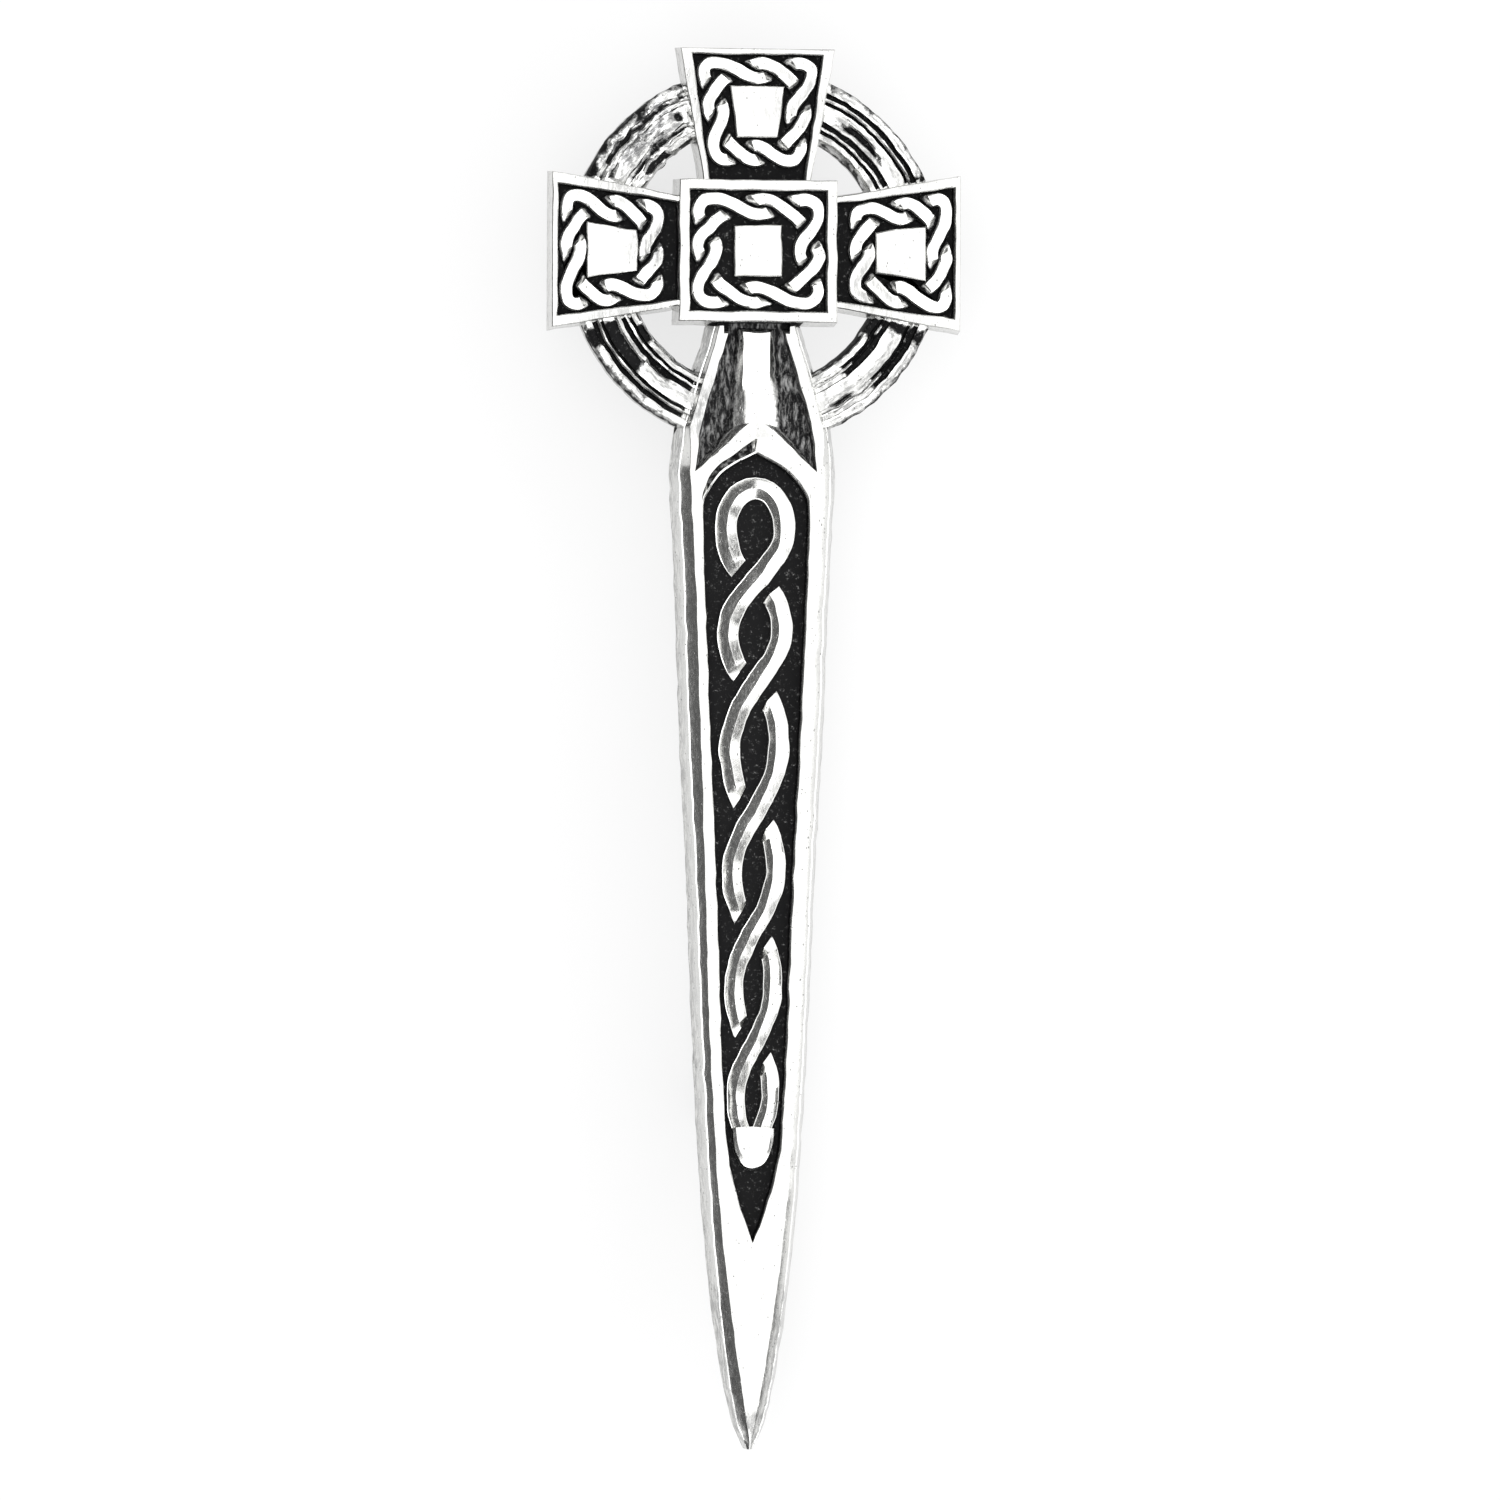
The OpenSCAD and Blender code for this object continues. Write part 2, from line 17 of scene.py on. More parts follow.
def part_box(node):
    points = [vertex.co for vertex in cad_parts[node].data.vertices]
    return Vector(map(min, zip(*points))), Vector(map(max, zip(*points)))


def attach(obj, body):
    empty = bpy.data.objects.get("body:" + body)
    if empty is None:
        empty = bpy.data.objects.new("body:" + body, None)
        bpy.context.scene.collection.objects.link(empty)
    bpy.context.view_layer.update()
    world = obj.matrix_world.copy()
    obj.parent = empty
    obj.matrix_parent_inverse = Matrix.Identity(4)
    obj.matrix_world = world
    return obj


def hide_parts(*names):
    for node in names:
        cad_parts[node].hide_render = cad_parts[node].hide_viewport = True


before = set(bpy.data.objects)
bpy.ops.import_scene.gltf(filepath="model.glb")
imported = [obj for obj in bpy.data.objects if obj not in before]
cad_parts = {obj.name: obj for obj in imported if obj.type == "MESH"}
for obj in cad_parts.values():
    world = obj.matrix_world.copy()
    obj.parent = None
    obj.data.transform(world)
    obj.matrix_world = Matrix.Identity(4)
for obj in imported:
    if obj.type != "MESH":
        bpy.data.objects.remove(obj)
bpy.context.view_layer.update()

MM = 0.001

# The casting's sizes, in millimetres, as the construction has them
TOP_REACH = 14.6
BLADE_REACH = 85.4
SIDE_REACH = 14.8
ARM_END_W = 11.1
ARM_ROOT_W = 7.6
ARM_H = 2.4
ARM_DRAFT = 0.15
ARM_RIM_END = 0.85
ARM_RIM_ROOT = 0.45
END_RIM = 0.4
BLOCK_W = 11.3
BLOCK_L = 10.1
BLOCK_H = 3.2
BLOCK_RIM = 0.72
RING_R = 13.45
RING_W = 4.2
RING_H = 2.1
GROOVE_D = 0.6
BLADE_W = 11.0
NECK_W = 5.5
SHOULDER_DROP = 15.9
SHOULDER_L = 3.4
BLADE_H = 2.6
WALL_H = 1.85
WALL_DRAFT = 0.5
BEVEL_W = 0.77
TROUGH_W = 7.6
TROUGH_TOP = 14.4
TROUGH_L = 56.2
SINK = 0.9
SINK_DRAFT = 0.1
KNOT_W = 1.0
WALL_GAP = 0.04
UNDER_GAP = 0.15
PAD_W = 3.4
PAD_L = 3.6
BRAID_W = 1.65
BRAID_GAP = 0.7
RELIEF_DROP = 0.06
SWING = 2.25
KEEL_W = 1.4
ARCH_BEVEL = 1.05
ARCH_DROP = 0.6
ARCH_RIM = 0.12
CHEVRON_SLOPE = 0.68
KEEL_GAP = 0.8
FOOT_W = 1.8
BITE = 0.3
RELIEF_H = SINK - RELIEF_DROP

# The gap between an arm's knot and the centre block, wider than in the construction
KNOT_CLEAR = 0.8
# How deep the arch's bevel falls on its right, less than in the construction
ARCH_DROP_RIGHT = 0.12
# How far the ring sits below the centre of the head
RING_SET = 0.3
# How far down the polish reaches on the sides of the knots, the braid and the keel
KNOT_BRIGHT = 0.10
BRAID_BRIGHT = 0.52
KEEL_BRIGHT = 0.45
# The depth given to the left part of the bevel beside the chevron: painted shade, drawn as partial
# blackening
ARCH_PAINTED_SHADE = 0.27

# Eased edges, the longest side that a long edge is divided into, a length that leaves
# edges whole, and how far a cut passes a surface that it would just touch
EASE = 0.07
STEP = 0.8
UNDIVIDED = 99
HAIR = 0.01

# The blade's sections: place along it, and the half width, bevel, side wall
# and land as shares of their own sizes
BLADE = np.array([
    [0.000, 1.000, 1.00, 1.00, 1.00],
    [0.130, 0.915, 1.00, 1.00, 1.00],
    [0.270, 0.850, 1.00, 1.00, 1.00],
    [0.385, 0.770, 0.80, 1.00, 1.00],
    [0.590, 0.660, 0.65, 1.00, 1.00],
    [0.710, 0.575, 0.70, 0.98, 1.00],
    [0.770, 0.520, 0.75, 0.95, 0.98],
    [0.830, 0.445, 0.85, 0.90, 0.95],
    [0.890, 0.355, 0.95, 0.80, 0.88],
    [0.940, 0.255, 0.95, 0.66, 0.78],
    [0.975, 0.160, 0.85, 0.50, 0.66],
    [1.000, 0.030, 0.15, 0.36, 0.42],
])
# Where the sections are taken, closer together at the tip
BLADE_PLACES = np.concatenate([np.linspace(0, 0.94, 76), np.linspace(0.947, 1, 10)])
# How much narrower half the blade is where its shoulders begin
SHOULDER_EASE = 0.35
# How steep the bevel stays where the blade narrows, and the least share that stays flat
BEVEL_SLOPE = 1.06
LEAST_FLAT = 0.04
# The bevel's shares of its width at the centre block and at the shoulders' top
NECK_BEVEL = (1 / 3, 1 / 2)
# The ledge at the bevel's foot: its width, the most of the bevel that it takes, and how
# far its edges lie below and above the wall's own height
LEDGE_W = 0.09
LEDGE_SHARE = 0.3
LEDGE_DROP = 0.02
LEDGE_RISE = 0.01
# The eased edge between bevel and land: its drop, and its reach out and in as shares of
# the ledge's width
LAND_DROP = 0.03
LAND_OUT = 0.4
LAND_IN = 0.2

# The sunk panel's outline: the place along it, and its half width
TROUGH = np.array([
    [0.000, 0.02], [0.008, 0.28], [0.022, 0.60], [0.044, 0.88], [0.066, 1.00],
    [0.300, 0.885], [0.560, 0.715], [0.810, 0.575], [0.890, 0.480],
    [0.925, 0.370], [0.965, 0.190], [1.000, 0.010],
])
# How many of those rows make the arch, and where the panel's outline is divided
ARCH_ROWS = 5
TROUGH_PLACES = np.concatenate([
    np.linspace(0, TROUGH[ARCH_ROWS - 1, 0], 14), np.linspace(0.08, 0.80, 52),
    np.linspace(0.815, 1, 18),
])
# Places of the arch, from its foot to its tip
ARCH_PLACES = np.concatenate([np.linspace(0.0655, 0.004, 22), [0.002, 0]])
# The least share of the arch's bevel that is cut at its ends, how far the cut reaches
# past the step at its top, and how near its end the painted shade keeps off the panel's rim
LEAST_SHARE = 0.02
STEP_PAST = 0.03
ARCH_END = 0.2

# The ring's section from its bore outwards: share of its width, share of its height,
# 1 in a groove, and the depth that the blackening left on it is worth
RING = np.array([
    [0.000, 0.30, 0, 0.30], [0.030, 0.68, 0, 0.28], [0.055, 0.82, 0, 0.22], [0.085, 0.88, 0, 0.13],
    [0.162, 0.89, 0, 0.13], [0.178, 0.89, 1, 0.00], [0.214, 0.89, 1, 0.00], [0.226, 0.88, 0, 0.19],
    [0.244, 0.90, 0, 0.15], [0.262, 0.89, 0, 0.19], [0.278, 0.90, 1, 0.00], [0.345, 0.92, 1, 0.00],
    [0.362, 0.93, 0, 0.14], [0.420, 0.96, 0, 0.09], [0.465, 0.98, 0, 0.09], [0.510, 1.00, 0, 0.09],
    [0.555, 1.00, 0, 0.09], [0.600, 0.98, 0, 0.09], [0.642, 0.95, 0, 0.13], [0.657, 0.94, 1, 0.00],
    [0.690, 0.93, 1, 0.00], [0.702, 0.90, 0, 0.19], [0.725, 0.93, 0, 0.15], [0.748, 0.90, 0, 0.19],
    [0.764, 0.90, 1, 0.00], [0.820, 0.90, 1, 0.00], [0.837, 0.88, 0, 0.18], [0.870, 0.90, 0, 0.14],
    [0.910, 0.88, 0, 0.15], [0.950, 0.84, 0, 0.20], [0.985, 0.74, 0, 0.24], [1.000, 0.64, 0, 0.28],
])
RING_SIDES = 360
# Places where the ring differs: from and to in degrees round it and in shares across
# it, and how much deeper it is. Those below zero fill its grooves by that share
RING_PLACES = (
    (33, 62, 0.41, 0.43, 0.10), (37, 59, 0.45, 0.48, 0.36), (40, 57, 0.50, 0.52, 0.34),
    (19, 28, 0.19, 0.96, 0.34), (62, 68, 0.05, 0.98, 0.14),
    (110, 160, 0.17, 0.22, -0.90), (110, 160, 0.27, 0.35, -0.66), (110, 160, 0.65, 0.70, -0.86),
    (110, 160, 0.76, 0.83, -0.62), (112, 117, 0.10, 0.98, 0.20), (117, 123, 0.40, 0.57, 0.30),
    (140, 144, 0.50, 0.61, 0.26), (125, 129, 0.40, 0.48, 0.22), (150, 157, 0.36, 0.98, 0.20),
    (113, 136, 0.00, 0.06, 0.20), (129, 146, 0.08, 0.17, 0.24),
    (202, 226, 0.45, 0.66, 0.30), (202, 212, 0.80, 0.98, 0.26), (209, 221, 0.06, 0.17, 0.36),
    (222, 237, 0.36, 0.38, 0.30), (236, 252, 0.27, 0.83, -0.50),
    (288, 317, 0.65, 0.70, -0.86), (288, 316, 0.75, 0.83, -0.80), (288, 311, 0.17, 0.22, -0.86),
    (288, 311, 0.27, 0.35, -0.80), (295, 308, 0.63, 0.66, 0.30),
    (316, 332, 0.69, 0.76, 0.50), (311, 329, 0.22, 0.27, 0.50), (298, 326, 0.00, 0.07, 0.20),
    (330, 338, 0.05, 0.96, 0.30), (323, 338, 0.00, 0.18, 0.26),
)
# Over how many degrees such a place begins and ends
FADE = 4.5
# How uneven the ring is all round, how much more in its lumpy upper left quarter, whose
# middle and reach are in degrees, and the height from which it is uneven
RING_UNEVEN = 0.025
RING_LUMPS = 0.055
LUMPY_MIDDLE = 135
LUMPY_REACH = 60
LUMPY_FROM = 0.5
# The lengths of its large and small lumps, in its plane and in height, the share of the
# small ones, and the share by which its surface lies inwards on the whole
PLANE_LUMPS = (1.6, 0.6)
HEIGHT_LUMPS = (1.3, 0.5)
SMALL_SHARE = 0.4
INWARD = 0.7

# Courses of the two knotted strands over one side of a square panel
CORNER_COURSE = np.array([
    [-0.95, 0.50], [-1.00, 0.72], [-0.98, 0.87], [-0.88, 0.98], [-0.70, 1.00],
    [-0.52, 0.95], [-0.35, 0.86], [-0.19, 0.76], [-0.03, 0.70], [0.11, 0.71], [0.28, 0.78],
])
MIDDLE_COURSE = np.array([
    [-0.25, 0.90], [0.02, 1.00], [0.18, 0.99], [0.32, 0.92],
    [0.43, 0.83], [0.55, 0.73], [0.66, 0.62], [0.75, 0.48],
])
# The rows of each course that give its line over the other, and the parts between rows
CORNER_OVER = [5, 7]
MIDDLE_OVER = [3, 5]
COURSE_PARTS = 6

# Sections of the strands: shares of half the width and of the height
ROUND_STRAND = [
    [-1, 0], [-0.99, 0.42], [-0.96, 0.64], [-0.90, 0.80], [-0.80, 0.90], [-0.62, 0.96], [-0.33, 0.99],
    [0, 1], [0.33, 0.99], [0.62, 0.96], [0.80, 0.90], [0.90, 0.80], [0.96, 0.64], [0.99, 0.42], [1, 0],
]
RIDGED_STRAND = [
    [-1, 0], [-0.99, 0.26], [-0.97, 0.36], [-0.89, 0.37], [-0.04, 0.98], [0, 1],
    [0.04, 0.98], [0.89, 0.37], [0.97, 0.36], [0.99, 0.26], [1, 0],
]
# How much less the facet falls that faces the blade's middle
INNER_LIFT = 0.27
# A strand's end turns parallel to the strand over it over this many half widths, and a
# least length, and it sinks over this many half widths to these shares of its height
LEAN_RUN = 1.6
LEAST_LEAN = 0.05
DIVE_RUN = 0.9
KNOT_DIVE = 0.55
BRAID_DIVE = 0.5

# The braid's crossings as shares of the sunk panel's length
CROSSINGS = (0.037, 0.161, 0.292, 0.457, 0.603, 0.751, 0.877)
# The line over a crossing, from this share of one bulge to this share of the next
OVER_LINE = (6 / 7, 1 / 7)
# How full a bulge is towards its hidden end and at the arch: 1 is a sine curve, less is fuller
FULLNESS = 0.5
# The swing and the strand's width at the braid's foot, as shares of those at its top
FOOT_SWING = 0.46
FOOT_WIDTH = 0.76
# How far a strand's crest moves inwards where it swings to the right, in half widths
CREST_SHIFT = 0.35
# The part of the last eye's sides before they turn to their meeting point, which lies
# this far below the last crossing
FOOT_TURN = 0.86
FOOT_RUN = 0.9
# The outline of the braid's rounded foot, as shares of half its width and of its width
# from the last crossing, and its sides as shares of that outline and of its height
FOOT_LEFT = np.array([
    [-1.76, 0.70], [-1.73, 0.40], [-1.69, 0.18], [-1.61, -0.05], [-1.47, -0.28],
    [-1.27, -0.53], [-1.02, -0.75], [-0.72, -0.90], [-0.38, -0.97],
])
FOOT = np.vstack([FOOT_LEFT, [[0, -1]], FOOT_LEFT[::-1] * [-1, 1], [[0, 0.80]]])
FOOT_SIDES = ((0.985, 0.5), (0.93, 0.82), (0.80, 1))

# A hollow beside the keel, at the rims and at its floor: shares of half the
# blade's width and of the way from the centre block to the shoulders
HOLLOW_TOP = np.array([[0.00, 0.00], [0.335, 0.00], [0.722, 0.66], [0.80, 0.985], [0.00, 0.66]])
HOLLOW_FLOOR = np.array([[0.25, 0.00], [0.32, 0.00], [0.68, 0.65], [0.765, 0.95], [0.38, 0.70]])
# The keel between them: how far its crest and the two steps of its sides keep from its
# middle, as shares of its width, how deep the steps lie, as shares of a panel's depth,
# and how far the lower one has come from the outline of the floor to that of the rims
KEEL_CREST = 0.12
KEEL_UPPER = (0.34, 0.04)
KEEL_LOWER = (0.68, 0.22)
KEEL_LOWER_WAY = 0.8
# How far the keel's sides reach at the block and the shoulders, in half widths of the blade
KEEL_SHARES = (0.30, 0.62)

# How far outlines are widened to hold the points on them, how far inside an edge the
# ground between raised work begins, and the lowest places that count, of the ring and,
# from the arms' ground, of the centre block
MARGIN = 0.03
GROUND_INSET = 0.2
RING_FOOT = 0.3
BLOCK_FOOT = 0.12
# How far past its ends and above its top a point still counts as the ring's
RING_MARGIN = 0.05
RING_ROOM = 0.1

# The casting's unevenness, how far and over what length in long and in short waves, and
# how near the outermost edges it ends
LONG_WAVES = (0.035, 3.4)
SHORT_WAVES = (0.022, 1.1)
EDGE_FADE = 0.4


def mix(a, b, t):
    return a + (b - a) * t


def smooth_step(t):
    t = np.clip(t, 0, 1)
    return t * t * (3 - 2 * t)


def unit(v):
    return v / np.linalg.norm(v, axis=-1, keepdims=True)


def cross_2d(a, b):
    return a[..., 0] * b[..., 1] - a[..., 1] * b[..., 0]


def wobble(points, wavelength, seed, waves=7, paces=(0.6, 1.6), swell=3.2):
    """Smooth unevenness between about -1 and 1, the same in every run.

    It is the sum of waves in all directions, some shorter and some longer."""
    draw = np.random.default_rng(seed)
    total = np.zeros(len(points))
    for _ in range(waves):
        direction = unit(draw.normal(size=points.shape[1]))
        pace = 2 * math.pi / wavelength * draw.uniform(*paces)
        total += np.sin(points @ direction * pace + draw.uniform(0, 2 * math.pi))
    return total / swell


def smooth_rows(table, s):
    """The table's other columns at places s, on a smooth curve through its rows."""
    x, y = table[:, 0], table[:, 1:]
    run = np.diff(x)[:, None]
    pace = np.diff(y, axis=0) / run
    both = pace[:-1] * pace[1:] > 0
    total = np.where(both, pace[:-1] + pace[1:], 1)
    slope = np.vstack([pace[:1], np.where(both, 2 * pace[:-1] * pace[1:] / total, 0), pace[-1:]])
    i = np.clip(np.searchsorted(x, s, side="right") - 1, 0, len(run) - 1)
    t = ((s - x[i]) / run[i, 0])[:, None]
    return ((2 * t**3 - 3 * t**2 + 1) * y[i] + (t**3 - 2 * t**2 + t) * run[i] * slope[i]
            + (3 * t**2 - 2 * t**3) * y[i + 1] + (t**3 - t**2) * run[i] * slope[i + 1])


def through(points, parts):
    """A smooth path through points, with that many parts between each two."""
    p = np.vstack([2 * points[0] - points[1], points, 2 * points[-1] - points[-2]])
    t = np.linspace(0, 1, parts, endpoint=False)[:, None]
    path = []
    for a, b, c, d in zip(p, p[1:], p[2:], p[3:]):
        path.append(0.5 * (2 * b + (c - a) * t + (2 * a - 5 * b + 4 * c - d) * t**2
                           + (3 * b - a - 3 * c + d) * t**3))
    return np.vstack(path + [points[-1:]])


# Solids are pairs of points and faces until they become meshes
def skin(rings, closed=False):
    """A solid through rings of equal length, with flat ends or closed back to the first."""
    rings = np.asarray(rings, float)
    n, m = rings.shape[:2]
    j = np.arange(m)
    k = (j + 1) % m
    faces = []
    for i in range(n if closed else n - 1):
        a, b = i * m, (i + 1) % n * m
        faces += np.stack([a + j, a + k, b + k, b + j], 1).tolist()
    if not closed:
        faces += [j[::-1].tolist(), ((n - 1) * m + j).tolist()]
    return rings.reshape(-1, 3), faces


def loft(levels, step=STEP):
    """A closed solid through outlines at heights, with its long edges divided."""
    corners = np.array([outline for outline, _ in levels], float)
    edges = np.linalg.norm(np.roll(corners, -1, 1) - corners, axis=2).max(0)
    counts = np.maximum(np.ceil(edges / step).astype(int), 1)
    rings = []
    for outline, (_, z) in zip(corners, levels):
        ring = [mix(outline[i], outline[(i + 1) % len(outline)], k / counts[i])
                for i in range(len(outline)) for k in range(counts[i])]
        rings.append(np.column_stack([ring, np.full(len(ring), z)]))
    return skin(rings)


def together(solids):
    points, faces, start = [], [], 0
    for p, f in solids:
        points.append(p)
        faces += [[k + start for k in face] for face in f]
        start += len(p)
    return np.vstack(points), faces


def turned(solid, quarters):
    points, faces = solid
    c, s = [(1, 0), (0, 1), (-1, 0), (0, -1)][quarters % 4]
    turn = np.array([[c, -s, 0], [s, c, 0], [0, 0, 1]])
    return points @ turn.T, faces


def in_scene(name, data):
    thing = bpy.data.objects.new(name, data)
    bpy.context.scene.collection.objects.link(thing)
    return thing


def as_object(name, solid):
    points, faces = solid
    mesh = bpy.data.meshes.new(name)
    mesh.from_pydata(points.tolist(), [], faces)
    edit = bmesh.new()
    edit.from_mesh(mesh)
    bmesh.ops.recalc_face_normals(edit, faces=edit.faces)
    edit.to_mesh(mesh)
    edit.free()
    return in_scene(name, mesh)


def combine(base, solid, operation="UNION"):
    """Joins a solid to the base or cuts it out, and keeps the result as the base's mesh."""
    tool = as_object("tool", solid)
    step = base.modifiers.new("step", "BOOLEAN")
    step.operation = operation
    step.solver = "MANIFOLD"
    step.object = tool
    view = bpy.context.evaluated_depsgraph_get()
    view.update()
    result = bpy.data.meshes.new_from_object(base.evaluated_get(view))
    old = base.data
    base.modifiers.clear()
    base.data = result
    bpy.data.meshes.remove(old)
    bpy.data.meshes.remove(tool.data)
    if not len(result.polygons):
        raise RuntimeError(f"{operation} left nothing of {base.name}")


# Panels: inner end, outer end, half width inside, half width outside
def on_panel(panel, uv):
    t = (uv[:, 1] + 1) / 2
    return np.column_stack([uv[:, 0] * mix(panel[2], panel[3], t), mix(panel[0], panel[1], t)])


def panel_outline(panel, inset):
    return np.array([
        [-panel[2] + inset, panel[0] + inset], [panel[2] - inset, panel[0] + inset],
        [panel[3] - inset, panel[1] - inset], [-panel[3] + inset, panel[1] - inset],
    ])


def quarter_turn(uv, n):
    for _ in range(n % 4):
        uv = np.column_stack([uv[:, 1], -uv[:, 0]])
    return uv


def narrower(panel, margin):
    slope = (panel[3] - panel[2]) / (panel[1] - panel[0])
    return [panel[0] + margin, panel[1] - margin,
            panel[2] + margin * (slope - 1), panel[3] - margin * (slope + 1)]


def panel_solid(panel, levels):
    """A solid through a panel's outline at several insets, each with its height."""
    return loft([(panel_outline(panel, inset), z) for inset, z in levels])


def raised_block(panel, height):
    return panel_solid(panel, [(-ARM_DRAFT, 0), (0, height - EASE), (EASE, height)])


def sunk_levels(top):
    """Insets and heights of a sunk panel's walls, up to its rim with eased edges."""
    return [(SINK_DRAFT, top - SINK), (HAIR, top - EASE), (-EASE * 2, top + EASE)]


# Strands
def clear_of(path, over, reach):
    """The part of a path that lies further than reach from the line over its start."""
    away = np.abs(cross_2d(path - over[0], unit(over[1] - over[0])))
    i = int(np.argmax(away >= reach))
    t = (reach - away[i - 1]) / (away[i] - away[i - 1]) if i else 0
    return np.vstack([mix(path[max(i - 1, 0)], path[i], t)[None], path[i:]])


def strand(path, half_w, section, floor_z, overs, dive, crest=None):
    """A raised strand along a path, cut short beside the strands over its ends.

    Each of overs is None or the line over that end and the gap beside it. The end runs
    parallel to that line, and sinks to the share dive of its height."""
    if overs[0] is not None:
        path = clear_of(path, overs[0][0], half_w(path[0]) + overs[0][1])
    if overs[1] is not None:
        path = clear_of(path[::-1], overs[1][0], half_w(path[-1]) + overs[1][1])[::-1]
    ahead = unit(np.gradient(path, axis=0))
    side = np.column_stack([-ahead[:, 1], ahead[:, 0]])
    run = np.concatenate([[0], np.cumsum(np.linalg.norm(np.diff(path, axis=0), axis=1))])
    wide = np.array([half_w(p) for p in path])
    high = np.full(len(path), RELIEF_H)
    lean = np.zeros(len(path))
    slope = np.ones(len(path)) if crest is None else wide * 2 / BRAID_W
    for over, away, end in ((overs[0], run, 0), (overs[1], run[-1] - run, -1)):
        if over is None:
            continue
        line = unit(over[0][1] - over[0][0])
        slant = float(line @ ahead[end]) / float(cross_2d(ahead[end], line))
        fade = LEAN_RUN * wide[end] * abs(slant) + LEAST_LEAN
        lean += slant * np.clip(1 - away / fade, 0, 1)
        high *= mix(dive, 1, smooth_step(away / (wide[end] * DIVE_RUN)))
    shift = np.zeros_like(path) if crest is None else crest(path)
    rings = []
    for i, p in enumerate(path):
        inward = side[i] @ shift[i] / (CREST_SHIFT * wide[i])
        ring = []
        for across, up in section:
            # The upper half of the section moves with its crest
            at = p + (side[i] + ahead[i] * lean[i]) * across * wide[i] + shift[i] * max(up * 2 - 1, 0)
            if up:
                up += (1 - up) * INNER_LIFT * max(inward * across, 0)
                up = 1 - (1 - up) * slope[i]
            ring.append([at[0], at[1], floor_z + (up * high[i] if up else -BITE)])
        rings.append(ring)
    return skin(rings)


def knot(panel, floor_z):
    """Two strands knotted round a raised pad, as solids clear of each other."""
    room = narrower(panel, KNOT_W / 2 + SINK_DRAFT + WALL_GAP)
    solids = []
    for turn in range(4):
        corner, corner_on = (on_panel(room, quarter_turn(CORNER_COURSE, n)) for n in (turn, turn + 1))
        middle, middle_back = (on_panel(room, quarter_turn(MIDDLE_COURSE, n)) for n in (turn, turn + 3))
        for course, before, after in (
            (corner, middle_back[MIDDLE_OVER], middle[MIDDLE_OVER]),
            (middle, corner[CORNER_OVER], corner_on[CORNER_OVER]),
        ):
            solids.append(strand(
                through(course, COURSE_PARTS), lambda p: KNOT_W / 2, ROUND_STRAND, floor_z,
                ((before, UNDER_GAP), (after, UNDER_GAP)), KNOT_DIVE,
            ))
    return solids + [pad(panel, floor_z)]


def pad(panel, floor_z):
    mid = (panel[0] + panel[1]) / 2
    lean = (panel[3] - panel[2]) / (panel[1] - panel[0]) * PAD_L / 2
    shape = [mid - PAD_L / 2, mid + PAD_L / 2, PAD_W / 2 - lean, PAD_W / 2 + lean]
    return panel_solid(shape, [
        (-SINK_DRAFT / 2, floor_z - BITE), (0, floor_z + RELIEF_H - EASE), (EASE, floor_z + RELIEF_H),
    ])


# The arms: reach, quarter turns and where they leave the block
ARMS = (
    (TOP_REACH - ARM_DRAFT, 0, BLOCK_L / 2),
    (SIDE_REACH - ARM_DRAFT, 1, BLOCK_W / 2),
    (SIDE_REACH - ARM_DRAFT, 3, BLOCK_W / 2),
)


def arm_panel(reach):
    return [BLOCK_L / 2 - BITE, reach, ARM_ROOT_W / 2, ARM_END_W / 2]


def arm_sunk(reach):
    return [BLOCK_L / 2 - BITE, reach - END_RIM,
            ARM_ROOT_W / 2 - ARM_RIM_ROOT, ARM_END_W / 2 - ARM_RIM_END]


def arm_knot(reach, root):
    whole = arm_sunk(reach)
    near = root + KNOT_CLEAR
    return [near, whole[1],
            mix(whole[2], whole[3], (near - whole[0]) / (whole[1] - whole[0])), whole[3]]


BLOCK_PANEL = [-BLOCK_L / 2, BLOCK_L / 2, BLOCK_W / 2, BLOCK_W / 2]
BLOCK_SUNK = narrower(BLOCK_PANEL, BLOCK_RIM)


def ring_share(points):
    """How far points lie across the ring, as shares of its width."""
    return (np.hypot(points[:, 0], points[:, 1] + RING_SET) - (RING_R - RING_W)) / RING_W


def on_ring(points):
    """Which points lie on the ring where it shows: not in the arms or the neck."""
    x, y, z = points.T
    share = ring_share(points)
    ring = (share > -RING_MARGIN) & (share < 1 + RING_MARGIN) & (z < RING_H + RING_ROOM)
    for reach, quarters, _ in ARMS:
        local = turned((points, None), -quarters)[0]
        ring &= ~inside(local, panel_outline(arm_panel(reach), -ARM_DRAFT))
    neck = np.interp(-y, [BLOCK_L / 2, SHOULDER_DROP - SHOULDER_L], [NECK_W / 2, BLADE_W / 2])
    return ring & ((y > 0) | (np.abs(x) > neck))


def ring_depth(points):
    """How deep points of the ring lie below its polished section, with its blackening."""
    t = ring_share(points)
    whole = np.interp(t, RING[:, 0], RING[:, 1]) * RING_H
    return whole - points[:, 2] + np.interp(t, RING[:, 0], RING[:, 3])


